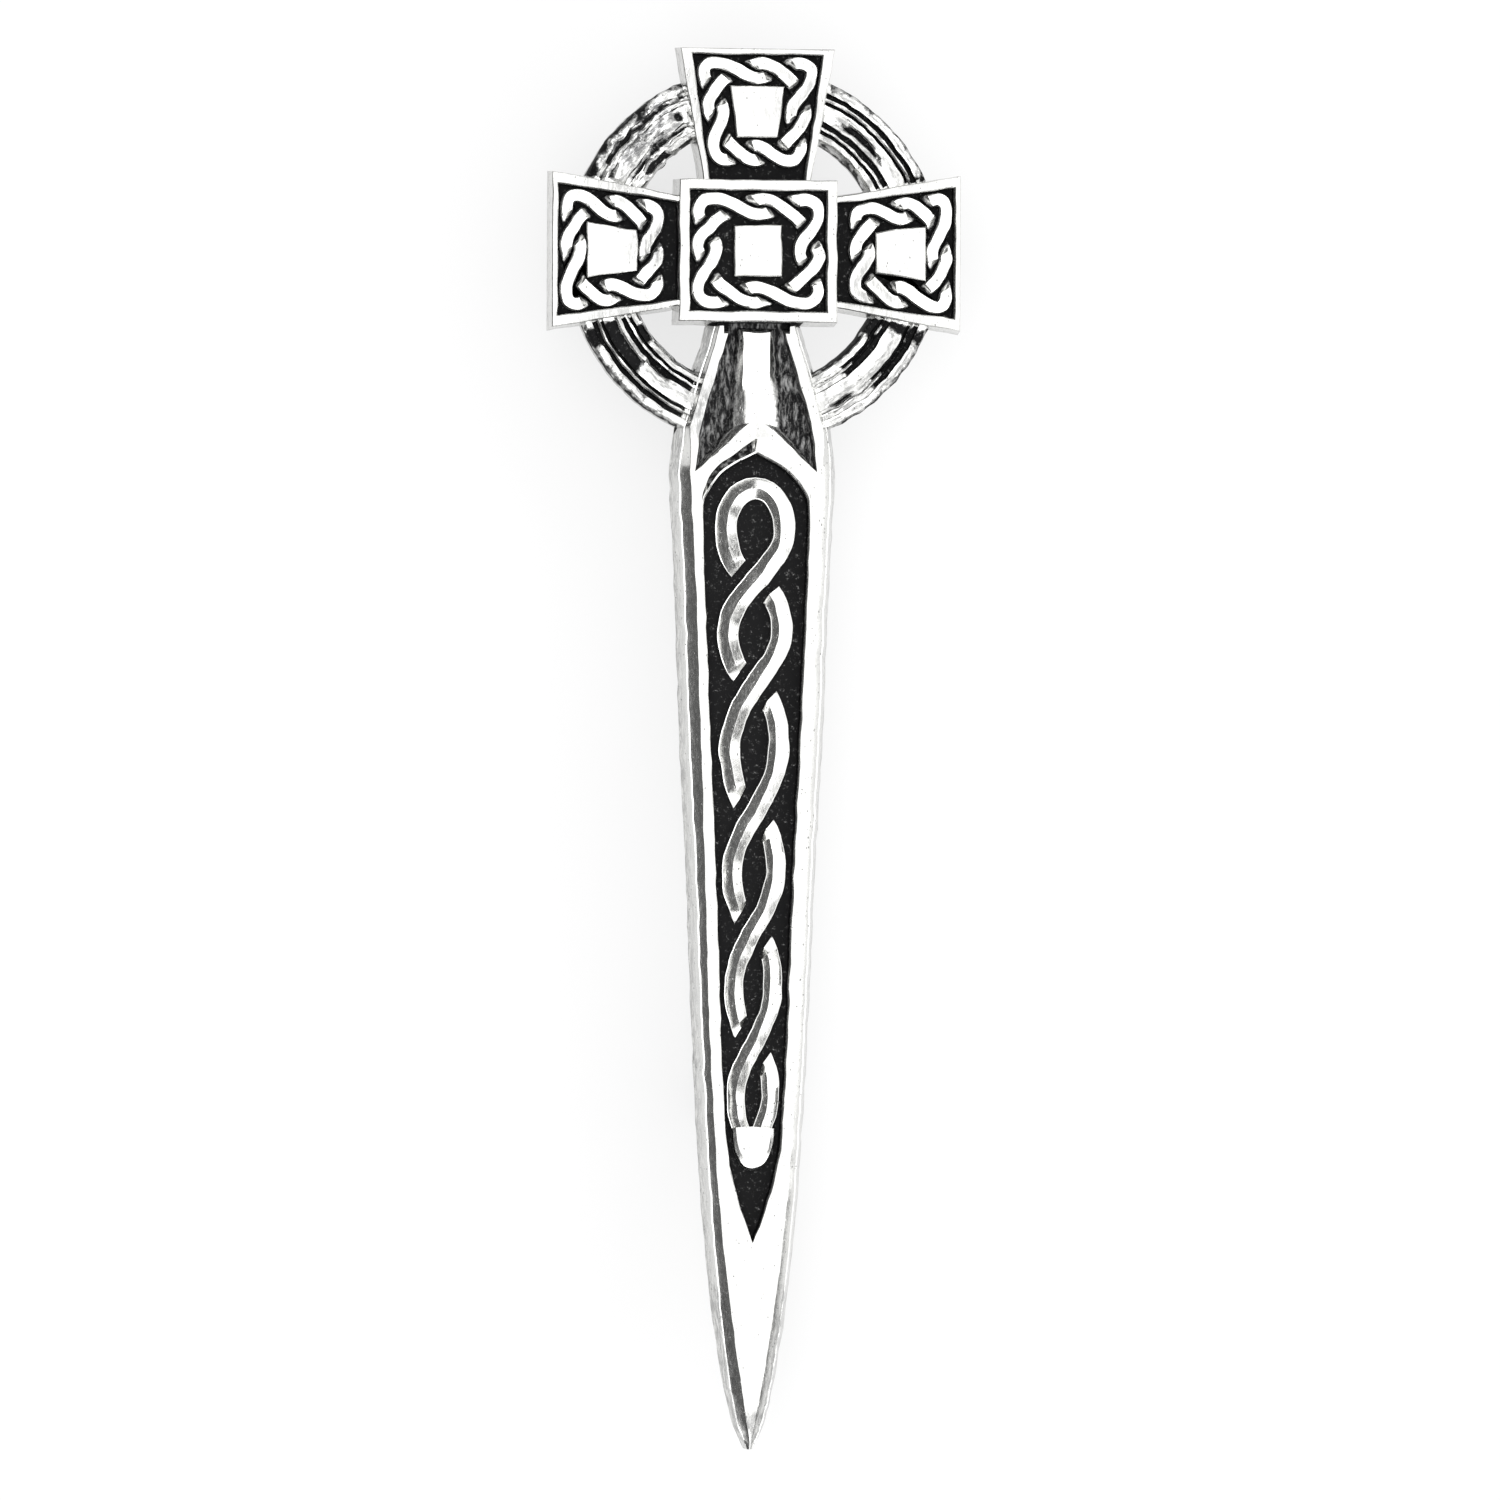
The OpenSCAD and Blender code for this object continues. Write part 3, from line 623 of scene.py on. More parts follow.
def head_ring():
    radii = RING_R - RING_W + RING[:, 0] * RING_W
    top = RING[:, 1] * RING_H
    rings = []
    for degrees in np.linspace(0, 360, RING_SIDES, endpoint=False):
        groove = RING[:, 2] * GROOVE_D
        deeper = np.zeros(len(RING))
        for start, end, inner, outer, amount in RING_PLACES:
            if not start < degrees < end:
                continue
            fade = smooth_step(min(degrees - start, end - degrees) / FADE)
            here = (RING[:, 0] >= inner) & (RING[:, 0] <= outer)
            if amount < 0:
                groove = np.where(here, groove * (1 + amount * fade), groove)
            else:
                deeper = np.where(here, np.maximum(deeper, amount * fade), deeper)
        section = np.column_stack([radii, top - np.maximum(groove, deeper)])
        section = np.vstack([[radii[0], 0], section, [radii[-1], 0]])
        turn = math.radians(degrees)
        rings.append([[r * math.cos(turn), r * math.sin(turn) - RING_SET, z] for r, z in section])
    points, faces = skin(rings, closed=True)
    angle = np.degrees(np.arctan2(points[:, 1], points[:, 0]))
    lumpy = smooth_step(1 - np.abs(angle - LUMPY_MIDDLE) / LUMPY_REACH)
    amount = (RING_UNEVEN + RING_LUMPS * lumpy) * (points[:, 2] > LUMPY_FROM)
    radial = unit(points[:, :2])
    large, small = PLANE_LUMPS
    uneven = INWARD + wobble(points, large, 11) + SMALL_SHARE * wobble(points, small, 13)
    points[:, :2] -= radial * (amount * uneven)[:, None]
    large, small = HEIGHT_LUMPS
    points[:, 2] += amount * (wobble(points, large, 12) + SMALL_SHARE * wobble(points, small, 14))
    return points, faces


def blade_section(y, half_w, bevel, wall, land):
    """One cross-section, with a narrow ledge between the side wall and the bevel."""
    flat = max(half_w - bevel, half_w * LEAST_FLAT)
    ledge = min(LEDGE_W, (half_w - flat) * LEDGE_SHARE)
    foot = half_w + WALL_DRAFT * wall / WALL_H
    if y < -SHOULDER_DROP:
        fall = (half_w - flat - ledge * (1 + LAND_OUT)) * BEVEL_SLOPE
        wall = max(wall, land - fall - (LAND_DROP + LEDGE_RISE))
    right = [[foot, 0], [half_w, wall - LEDGE_DROP], [half_w - ledge, wall + LEDGE_RISE],
             [flat + ledge * LAND_OUT, land - LAND_DROP], [flat - ledge * LAND_IN, land]]
    left = [[-x, z] for x, z in right]
    return [[x, y, z] for x, z in left + right[::-1]]


def blade():
    flare = SHOULDER_DROP - SHOULDER_L
    half_top = BLADE_W / 2 - SHOULDER_EASE
    rings = []
    # The neck and the slanted shoulders: parts, places, half widths and the bevel's shares
    for parts, along, half_w, bevel in (
        (12, (BLOCK_L / 2 - BITE, flare), (NECK_W / 2, half_top), NECK_BEVEL),
        (5, (flare, SHOULDER_DROP), (half_top, BLADE_W / 2), (NECK_BEVEL[1], 1)),
    ):
        for t in np.linspace(0, 1, parts, endpoint=False):
            rings.append(blade_section(-mix(*along, t), mix(*half_w, t), BEVEL_W * mix(*bevel, t),
                                       WALL_H, BLADE_H))
    for s, row in zip(BLADE_PLACES, smooth_rows(BLADE, BLADE_PLACES)):
        rings.append(blade_section(-SHOULDER_DROP - s * (BLADE_REACH - SHOULDER_DROP),
                                   row[0] * BLADE_W / 2, row[1] * BEVEL_W,
                                   row[2] * WALL_H, row[3] * BLADE_H))
    return skin(rings)


def trough_y(s):
    return -TROUGH_TOP - s * TROUGH_L


def trough_half_w(s):
    return np.maximum(smooth_rows(TROUGH, s)[:, 0], TROUGH[-1, 1]) * TROUGH_W / 2


def trough_outline(inset):
    s = TROUGH_PLACES
    half_w = np.maximum(trough_half_w(s) - inset, HAIR)
    y = trough_y(s) + np.where(s < TROUGH[ARCH_ROWS - 1, 0], -inset, inset)
    right = np.column_stack([half_w, y])
    return np.vstack([right, right[::-1] * [-1, 1]])


def trough():
    return loft([(trough_outline(inset), z) for inset, z in sunk_levels(BLADE_H)], UNDIVIDED)


def arch_lines():
    """Half widths along the arch, its rim there, and the low step under the chevron."""
    way = ARCH_PLACES / TROUGH[ARCH_ROWS - 1, 0]
    x = trough_half_w(ARCH_PLACES) + ARCH_RIM * way
    rim = trough_y(ARCH_PLACES) + ARCH_RIM
    chevron = trough_y(0) + ARCH_BEVEL - CHEVRON_SLOPE * x
    share = np.maximum(1 - way**2, LEAST_SHARE)
    return x, rim, rim + np.maximum(chevron - rim, ARCH_RIM) * share


def arch_bevel():
    """The bevel that falls from the arch's rim to the step, and less on its right."""
    x, rim, step = arch_lines()
    top = np.full(len(x), BLADE_H + HAIR)

    def side(hand, drop):
        low = BLADE_H - drop * (step - rim) / (ARCH_BEVEL - ARCH_RIM)
        return np.stack([np.stack([hand * x, rim, top], 1), np.stack([hand * x, step, low], 1),
                         np.stack([hand * x, step + STEP_PAST, top], 1)], 1)
    return skin(np.concatenate([side(-1, ARCH_DROP), side(1, ARCH_DROP_RIGHT)[::-1]]))


def arch_left():
    """The outline of the bevel's left part, seen from above, that holds the points on it, where shade is
    painted.
    """
    x, rim, step = arch_lines()
    low = rim + HAIR * np.where(x < TROUGH_W / 2 - ARCH_END, -1, 2)
    return np.vstack([np.column_stack([-x, low]), np.column_stack([-x, step + HAIR])[::-1]])


def hollow_outline(rows, hand, least):
    x = np.maximum(rows[:, 0] * BLADE_W / 2, least)
    y = -mix(BLOCK_L / 2, SHOULDER_DROP, rows[:, 1])
    return np.column_stack([hand * x, y])


def neck_hollows():
    """The hollows beside the keel, whose crest they leave rounded."""
    middle = mix(HOLLOW_FLOOR, HOLLOW_TOP, KEEL_LOWER_WAY)
    return [loft([
        (hollow_outline(HOLLOW_FLOOR, hand, 0), BLADE_H - SINK),
        (hollow_outline(middle, hand, KEEL_W * KEEL_LOWER[0]), BLADE_H - SINK * KEEL_LOWER[1]),
        (hollow_outline(HOLLOW_TOP, hand, KEEL_W * KEEL_UPPER[0]), BLADE_H - SINK * KEEL_UPPER[1]),
        (hollow_outline(HOLLOW_TOP, hand, KEEL_W * KEEL_CREST), BLADE_H + HAIR),
    ]) for hand in (-1, 1)]


def neck_groove():
    """The groove that parts the keel from the centre block."""
    half_w = (NECK_W - BEVEL_W) / 2
    low = [-BLOCK_L / 2 - KEEL_GAP / 2, 0, half_w - SINK_DRAFT, half_w - SINK_DRAFT]
    high = [-BLOCK_L / 2 - KEEL_GAP, 0, half_w, half_w]
    return loft([(panel_outline(low, 0), BLADE_H - SINK), (panel_outline(high, 0), BLADE_H + 2 * HAIR)])


# The braid
def braid_half_w(p):
    return BRAID_W / 2 * mix(1, FOOT_WIDTH, (-TROUGH_TOP - p[1]) / TROUGH_L)


def bulge(n, start, end, hand, parts=24):
    """The braid's middle line between crossings n and n + 1, on the side given by hand."""
    t = np.linspace(start, end, parts + 1)
    s = mix(CROSSINGS[n], CROSSINGS[n + 1], t)
    full = (t < 0.5) | (hand < 0) if n == 0 else hand * (t - 0.5) < 0
    side = np.abs(np.sin(math.pi * t)) ** np.where(full, FULLNESS, 1)
    return np.column_stack([hand * SWING * mix(1, FOOT_SWING, s) * side, trough_y(s)])


def braid_over(n):
    before, after = OVER_LINE
    return np.array([bulge(n - 1, before, before, 1, 1)[0], bulge(n, after, after, -1, 1)[0]])


def relaxed(path, times=6):
    """A path with its sharp turns eased, and its ends kept."""
    for _ in range(times):
        path = np.vstack([path[:1], (path[:-2] + 2 * path[1:-1] + path[2:]) / 4, path[-1:]])
    return path


def braid_strand(path, before, after):
    overs = [None if n is None else (braid_over(n), BRAID_GAP) for n in (before, after)]

    def crest(points):
        reach = np.array([braid_half_w(p) for p in points])
        swing = SWING * mix(1, FOOT_SWING, (-TROUGH_TOP - points[:, 1]) / TROUGH_L)
        outward = np.clip(points[:, 0] / swing, 0, 1)
        return np.column_stack([-CREST_SHIFT * reach * outward, np.zeros(len(points))])

    return strand(relaxed(path), braid_half_w, RIDGED_STRAND, BLADE_H - SINK, overs, BRAID_DIVE, crest)


def braid():
    """The braid's strands: those that are clear of each other, then the last eye's other side."""
    last = len(CROSSINGS) - 2
    solids = [braid_strand(np.vstack([
        bulge(0, 1, 0, -1), bulge(0, 0, 1, 1)[1:], bulge(1, 0, 1, -1)[1:]]), 1, 2)]
    for n in range(2, last):
        solids.append(braid_strand(
            np.vstack([bulge(n - 1, 0, 1, 1), bulge(n, 0, 1, -1)[1:]]), n - 1, n + 1))
    foot_point = np.array([[0, trough_y(CROSSINGS[-1]) - FOOT_RUN]])
    solids.append(braid_strand(np.vstack([
        bulge(last - 1, 0, 1, 1), bulge(last, 0, FOOT_TURN, -1)[1:], foot_point]), last - 1, None))
    return solids, braid_strand(np.vstack([foot_point, bulge(last, FOOT_TURN, 0, 1)]), None, last)


def foot():
    """The braid's rounded foot, whose outline narrows towards its top without moving up."""
    def outline(share):
        centre = np.array([0, trough_y(CROSSINGS[-1])])
        return centre + (FOOT[-1] + (FOOT - FOOT[-1]) * share) * [FOOT_W / 2, FOOT_W]
    floor_z = BLADE_H - SINK
    levels = [(outline(share), floor_z + RELIEF_H * up) for share, up in FOOT_SIDES]
    return loft([(outline(1), floor_z - BITE)] + levels)


def casting_solid():
    """The whole casting as one closed mesh, in millimetres from the centre of the head."""
    bodies = [blade()]
    sinks = [trough()] + neck_hollows()
    relief = knot(BLOCK_SUNK, BLOCK_H - SINK)
    for reach, quarters, root in ARMS:
        panel = arm_sunk(reach)
        panel_open = [panel[0] - BITE] + panel[1:]
        bodies.append(turned(raised_block(arm_panel(reach), ARM_H), quarters))
        sinks.append(turned(panel_solid(panel_open, sunk_levels(ARM_H)), quarters))
        relief += [turned(s, quarters) for s in knot(arm_knot(reach, root), ARM_H - SINK)]
    strands, eye_side = braid()
    casting = as_object("cast_pewter_cross", head_ring())
    combine(casting, together(bodies))
    combine(casting, together(sinks), "DIFFERENCE")
    combine(casting, arch_bevel(), "DIFFERENCE")
    combine(casting, neck_groove(), "DIFFERENCE")
    combine(casting, raised_block(BLOCK_PANEL, BLOCK_H))
    combine(casting, panel_solid(BLOCK_SUNK, sunk_levels(BLOCK_H)), "DIFFERENCE")
    combine(casting, together(relief + strands))
    combine(casting, eye_side)
    combine(casting, foot())
    return casting


def mesh_points(mesh):
    points = np.empty(len(mesh.vertices) * 3, np.float32)
    mesh.vertices.foreach_get("co", points)
    return points.reshape(-1, 3).astype(float)


def inside(points, outline):
    """Which points lie inside a closed outline, seen from above."""
    x, y = points[:, 0], points[:, 1]
    result = np.zeros(len(points), bool)
    for (x0, y0), (x1, y1) in zip(outline, np.roll(outline, -1, 0)):
        if y0 == y1:
            continue
        spans = (y >= min(y0, y1)) & (y < max(y0, y1))
        result ^= spans & (x < x0 + (y - y0) * (x1 - x0) / (y1 - y0))
    return result


def depth_below(points):
    """How far each point lies under the polished metal around it, which blackening reached.

    Between raised strands and beside the keel it is counted from the foot of their
    polished sides. On the left part of the arch's bevel it is a set value, which paints shade there."""
    x, y, z = points.T
    depth = np.zeros(len(points))

    def measure(where, top, bright=0):
        depth[where] = (top - z)[where] - bright

    ring = on_ring(points) & (z > RING_FOOT)
    depth[ring] = ring_depth(points)[ring]
    for reach, quarters, _ in ARMS:
        local = turned((points, None), -quarters)[0]
        measure(inside(local, panel_outline(arm_sunk(reach), -MARGIN)), ARM_H, KNOT_BRIGHT)
    measure(inside(points, trough_outline(-MARGIN)), BLADE_H)
    # Painted shade: the left part of the arch's bevel gets a set depth, which darkens it
    depth[inside(points, arch_left())] = ARCH_PAINTED_SHADE
    depth[inside(points, trough_outline(GROUND_INSET))] -= BRAID_BRIGHT
    beside = np.abs(x) < BLADE_W / 2 * np.interp(-y, [BLOCK_L / 2, SHOULDER_DROP], KEEL_SHARES)
    for hand in (-1, 1):
        hollow = inside(points, hollow_outline(HOLLOW_TOP, hand, KEEL_W * KEEL_CREST))
        measure(hollow, BLADE_H)
        depth[hollow & beside] -= KEEL_BRIGHT
    groove = (np.abs(x) < NECK_W / 2 - GROUND_INSET) & (y < -BLOCK_L / 2)
    measure(groove & (y > -BLOCK_L / 2 - KEEL_GAP), BLADE_H)
    # The centre block is bright, but for its panel and its lower wall above the groove
    in_block = inside(points, panel_outline(BLOCK_PANEL, -ARM_DRAFT)) & (z > ARM_H - SINK + BLOCK_FOOT)
    depth[in_block] = 0
    depth[in_block & (y < -BLOCK_L / 2 + 2 * HAIR) & (z < BLADE_H)] = 1
    measure(inside(points, panel_outline(BLOCK_SUNK, -MARGIN)), BLOCK_H, KNOT_BRIGHT)
    return np.maximum(depth, 0)


# How dull the metal is below the height of the blade's walls
WALL_DULL = 0.6
# How dull the ring is all round, which the polishing reached less than the rest
RING_DULL = 0.6
# How much shorter the streaks' pattern is taken along them than across
DRAWN_OUT = 0.25
# How far below the lands the rubbed streaks begin
RUB_DEPTH = 0.1
# Dull or stained places, and one of painted shade beside the keel at x -2.6, y -11.5: x and y from the
# centre of the head, reach, and how much
DULL_AND_SHADED_PLACES = (
    (-9.5, 9.5, 5.5, 0.9), (9.5, 9.0, 4.5, 0.5), (-9.0, -8.5, 5.0, 0.7), (9.0, -9.0, 5.0, 0.5),
    (2.6, 11.0, 2.4, 0.35), (-7.4, 0.5, 1.6, 0.8), (8.0, -2.6, 2.2, 0.45), (-2.6, -11.5, 2.6, 0.7),
    (-4.2, -57.7, 0.35, 1.0),
)
# How many times its reach such a place ends at
DULL_END = 1.4


def dullness_and_painted_shade(points):
    amount = np.where(on_ring(points), RING_DULL, WALL_DULL * (points[:, 2] < WALL_H))
    # Painted shade: the left part of the arch's bevel is fully dull, which greys it
    amount[inside(points, arch_left())] = 1
    for x, y, reach, share in DULL_AND_SHADED_PLACES:
        away = np.hypot(points[:, 0] - x, points[:, 1] - y)
        amount = np.maximum(amount, share * smooth_step(DULL_END - away / reach))
    return amount


def rubbed(points):
    """Where the blackening was rubbed away in streaks: in the hollows beside the keel."""
    hollows = [inside(points, hollow_outline(HOLLOW_TOP, hand, 0)) for hand in (-1, 1)]
    return np.any(hollows, axis=0) & (points[:, 2] < BLADE_H - RUB_DEPTH)


def grain(points):
    """Places for streaks: along the ring where it shows, and along the blade elsewhere."""
    x, y, z = points.T
    ring = on_ring(points)
    across = np.where(ring, ring_share(points) * RING_W, x)
    along = np.where(ring, np.arctan2(y, x) * RING_R, y)
    return np.column_stack([across, along * DRAWN_OUT, z]) * MM


def add_values(mesh, name, values):
    """Adds a value or a vector for each point, which the material reads by its name."""
    values = np.asarray(values, np.float32)
    kind, field = ("FLOAT", "value") if values.ndim == 1 else ("FLOAT_VECTOR", "vector")
    mesh.attributes.new(name, kind, "POINT").data.foreach_set(field, values.ravel())


def finish_mesh(thing, place, sharp, material):
    """Puts a millimetre mesh in its place in metres, with creases at edges that turn by more
    than sharp degrees, and its material."""
    edit = bmesh.new()
    edit.from_mesh(thing.data)
    bmesh.ops.triangulate(edit, faces=[f for f in edit.faces if len(f.verts) > 4])
    edit.to_mesh(thing.data)
    edit.free()
    thing.data.transform(Matrix.Translation(place) @ Matrix.Scale(MM, 4))
    thing.data.shade_smooth()
    thing.data.set_sharp_from_angle(angle=math.radians(sharp))
    thing.data.materials.clear()
    thing.data.materials.append(material)


def casting():
    low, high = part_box("cross_casting")
    head = Vector((0, high.y - TOP_REACH * MM, low.z))
    thing = casting_solid()
    points = mesh_points(thing.data)
    for name, values in {"below": depth_below, "dull": dullness_and_painted_shade, "rubbed": rubbed, "grain": grain}.items():
        add_values(thing.data, name, values(points))
    # The slight unevenness of a casting that was filed and polished by hand
    x, y = points[:, 0], points[:, 1]
    inner = np.clip((SIDE_REACH - np.abs(x)) / EDGE_FADE, 0, 1)
    inner *= np.clip((TOP_REACH - y) / EDGE_FADE, 0, 1) * np.clip((y + BLADE_REACH) / EDGE_FADE, 0, 1)
    for axis, seed in ((0, 21), (1, 22)):
        shove = LONG_WAVES[0] * wobble(points[:, :2], LONG_WAVES[1], seed)
        shove += SHORT_WAVES[0] * wobble(points[:, :2], SHORT_WAVES[1], seed + 5)
        points[:, axis] += shove * inner
    thing.data.vertices.foreach_set("co", points.astype(np.float32).ravel())
    finish_mesh(thing, head, sharp=21, material=antiqued_pewter())
    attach(thing, "root")
    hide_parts("cross_casting")


# Materials
# Sizes of the patterns in millimetres: a small one is one over its features in a millimetre
RAGGED_SIZE = 1 / 2.2
STREAK_SIZE = 1 / 2.1
MOTTLE_SIZE = 1 / 3.6
PIT_SIZE = 1 / 2.6
CLOUD_SIZE = 1 / 0.7
HAZE_SIZE = 25
# Real scratches and drawing lines are a few hundredths of a millimetre apart, too fine to
# show, so they are drawn coarser
SCRATCH_SIZE = 1 / 9
DRAWN_W = 1 / 9
DRAWN_L = 2

# Settings that several nodes share
EASED = {"interpolation_type": "SMOOTHSTEP"}
COLOURS = {"data_type": "RGBA"}
TIMES = {"operation": "MULTIPLY"}
TIMES_PLUS = {"operation": "MULTIPLY_ADD"}
PLUS = {"operation": "ADD"}
LESS = {"operation": "SUBTRACT"}
LARGER = {"operation": "MAXIMUM"}


def scale_of(size):
    """A texture's scale for features of a size in millimetres."""
    return 1 / (size * MM)


def linear(colour):
    """An sRGB hex colour as linear RGBA."""
    parts = [int(colour[i:i + 2], 16) / 255 for i in (1, 3, 5)]
    return [p / 12.92 if p <= 0.04045 else ((p + 0.055) / 1.055) ** 2.4 for p in parts] + [1]


def node(tree, kind, inputs=None, settings=None, output=0):
    """Adds a shader node and gives back one of its outputs: inputs are its sockets' values
    or links, and settings its properties."""
    made = tree.nodes.new("ShaderNode" + kind)
    for name, value in (settings or {}).items():
        setattr(made, name, value)
    for key, value in (inputs or {}).items():
        socket = made.inputs[key]
        if isinstance(value, bpy.types.NodeSocket):
            tree.links.new(value, socket)
        else:
            socket.default_value = value
    return made.outputs[output] if made.outputs else made


def new_material(name):
    """An empty material, and the function that adds nodes to it."""
    material = bpy.data.materials.new(name)
    material.use_nodes = True
    tree = material.node_tree
    tree.nodes.clear()
    return material, partial(node, tree)


def antiqued_pewter():
    """White metal, cast, blackened in its recesses and polished over: bright flats with fine
    scratches and pits, worn streaks on the ring, and matt black speckled grounds, with shade
    painted on the left of the chevron's bevel and beside the keel."""
    material, add = new_material("pewter_cast_antiqued_polished")
    where = add("TexCoord", output="Object")
    below, dull, rub, streak = [
        add("Attribute", None, {"attribute_name": name}, output)
        for name, output in (("below", "Fac"), ("dull", "Fac"), ("rubbed", "Fac"), ("grain", "Vector"))
    ]
    # Uneven patterns, all over or drawn out in streaks: their size, detail and roughness
    ragged, streaks, mottle, fleck, cloud, fine = [
        add("TexNoise", {"Vector": at, "Scale": scale_of(size), "Detail": detail, "Roughness": roughness})
        for at, size, detail, roughness in (
            (where, RAGGED_SIZE, 4.0, 0.65), (streak, STREAK_SIZE, 5.0, 0.68),
            (streak, MOTTLE_SIZE, 5.0, 0.75), (where, MOTTLE_SIZE, 6.0, 0.8),
            (where, CLOUD_SIZE, 5.0, 0.7), (streak, SCRATCH_SIZE, 3.0, 0.5),
        )
    ]

    # Where the blackening was left, and painted shade on the left of the chevron's bevel: deep enough, with
    # a ragged edge
    edge = add("Math", {0: ragged, 1: 0.40, 2: -0.20}, TIMES_PLUS)
    deep = add("Math", {0: below, 1: edge}, PLUS)
    black = add("MapRange", {"Value": deep, "From Min": 0.15, "From Max": 0.30}, EASED)

    # Stains that the polishing wheel didn't reach, drawn out along the ring, and painted shade in streaks
    # on the left of the chevron's bevel and beside the keel
    limit = add("MapRange", {"Value": dull, "To Min": 0.80, "To Max": 0.52})
    over = add("Math", {0: streaks, 1: limit}, LESS)
    stain_and_shade = add("MapRange", {"Value": over, "From Min": -0.02, "From Max": 0.13, "To Max": 0.92}, EASED)

    # A thin grey film that mottles the dull metal, which on the left of the chevron's bevel and beside the
    # keel is painted shade
    patches = add("MapRange", {"Value": mottle, "From Min": 0.38, "From Max": 0.60}, EASED)
    film_and_shade = add("Math", {0: patches, 1: dull}, TIMES)

    # Bright grains left standing in the black grounds, and streaks rubbed through them
    grains = add("MapRange", {"Value": fleck, "From Min": 0.56, "From Max": 0.74, "To Max": 0.40}, EASED)
    bared = add("MapRange", {"Value": mottle, "From Min": 0.46, "From Max": 0.70, "To Max": 0.75}, EASED)
    streaked = add("Math", {0: bared, 1: rub}, TIMES)
    open_metal = add("Math", {0: grains, 1: streaked}, LARGER)
    kept = add("Math", {0: 1.0, 1: open_metal}, LESS)
    covered = add("Math", {0: black, 1: kept}, TIMES)
    dark = add("Math", {0: covered, 1: stain_and_shade}, LARGER)

    # Small open pits of the casting, and the metal's slight cloudiness
    pit = add("TexVoronoi", {"Vector": where, "Scale": scale_of(PIT_SIZE)})
    pits = add("MapRange", {
        "Value": pit, "From Min": 0.08, "From Max": 0.26, "To Min": 1.0, "To Max": 0.0}, EASED)
    some = add("MapRange", {"Value": ragged, "From Min": 0.48, "From Max": 0.58}, EASED)
    pitted = add("Math", {0: pits, 1: some}, TIMES)
    bright = add("Mix", {
        "Factor": cloud, "A": linear("#CFCFCD"), "B": linear("#EAEAE8")}, COLOURS, "Result")
    metal = add("Mix", {"Factor": film_and_shade, "A": bright, "B": linear("#58585A")}, COLOURS, "Result")
    holed = add("Math", {0: pitted, 1: 0.70}, TIMES)
    spoiled = add("Math", {0: dark, 1: holed}, LARGER)
    colour = add("Mix", {"Factor": spoiled, "A": metal, "B": linear("#0B0B0C")}, COLOURS, "Result")

    # Fine scratches from hand polishing make the shine uneven, and the black grounds are dull
    shine = add("MapRange", {
        "Value": fine, "From Min": 0.3, "From Max": 0.7, "To Min": 0.15, "To Max": 0.30})
    rough = add("Mix", {"Factor": dark, "A": shine, "B": 0.60}, output="Result")
    metallic = add("MapRange", {"Value": dark, "To Min": 1.0, "To Max": 0.1})
    sheen = add("MapRange", {"Value": dark, "To Min": 0.5, "To Max": 0.1})
    dents = add("Math", {0: pitted, 1: -0.8, 2: cloud}, TIMES_PLUS)
    relief = add("Bump", {"Strength": 0.5, "Distance": 0.03 * MM, "Height": dents})
    bump = add("Bump", {"Strength": 0.15, "Distance": 0.01 * MM, "Height": fine, "Normal": relief})
    shader = add("BsdfPrincipled", {
        "Base Color": colour, "Metallic": metallic, "Roughness": rough, "Normal": bump,
        "Specular IOR Level": sheen,
    })
    add("OutputMaterial", {"Surface": shader})
    return material


def drawn_steel():
    """Nickel-plated steel, drawn and stamped: an even soft shine with faint lengthwise lines."""
    material, add = new_material("steel_stamped_plated")
    where = add("TexCoord", output="Object")
    drawn_out = (scale_of(DRAWN_W), scale_of(DRAWN_L), scale_of(DRAWN_W))
    long = add("Mapping", {"Vector": where, "Scale": drawn_out})
    lines = add("TexNoise", {"Vector": long, "Scale": 1.0, "Detail": 3.0})
    colour = add("Mix", {
        "Factor": lines, "A": linear("#A9ABAD"), "B": linear("#C6C8C9")}, COLOURS, "Result")
    rough = add("MapRange", {"Value": lines, "To Min": 0.24, "To Max": 0.40})
    bump = add("Bump", {"Strength": 0.2, "Distance": 0.01 * MM, "Height": lines})
    shader = add("BsdfPrincipled", {
        "Base Color": colour, "Metallic": 1.0, "Roughness": rough, "Normal": bump,
    })
    add("OutputMaterial", {"Surface": shader})
    return material


def light_table():
    """Opal acrylic, cast: a light table's plain top, lit from below, so that it looks white
    and is nearly without shadow."""
    material, add = new_material("acrylic_cast_opal")
    where = add("TexCoord", output="Object")
    haze = add("TexNoise", {"Vector": where, "Scale": scale_of(HAZE_SIZE)})
    colour = add("Mix", {"Factor": haze, "A": linear("#6E6E6E"), "B": linear("#727272")}, COLOURS, "Result")
    shader = add("BsdfPrincipled", {
        "Base Color": colour, "Roughness": 0.9, "Specular IOR Level": 0.1,
        "Emission Color": linear("#FFFFFF"), "Emission Strength": 0.75,
    })
    add("OutputMaterial", {"Surface": shader})
    return material


# The clasp, in the frame's own millimetres
CLASP_W = 5.0
BAR_L = 62.0
BAR_T = 0.8
HINGE_DROP = 2.5
FOOT_L = 4.0
STEM_D = 1.2
CLOTH_H = 4.4
FOOT_T = 0.5
STEM_GAP = 0.1
POINT_L = 5.0
POINT_D = 0.3
# How far its feet reach into the bar, as a share of its thickness
FOOT_RISE = 0.8
# How far the catch's slot passes the open side, and how much its edges are eased
SLOT_PAST = 1
SLOT_EASE = 0.2
# The sides of the stem, and the places along its point and the power of its taper
STEM_SIDES = 40
POINT_PLACES = (0.3, 0.6, 0.85, 1)
TAPER = 1.3


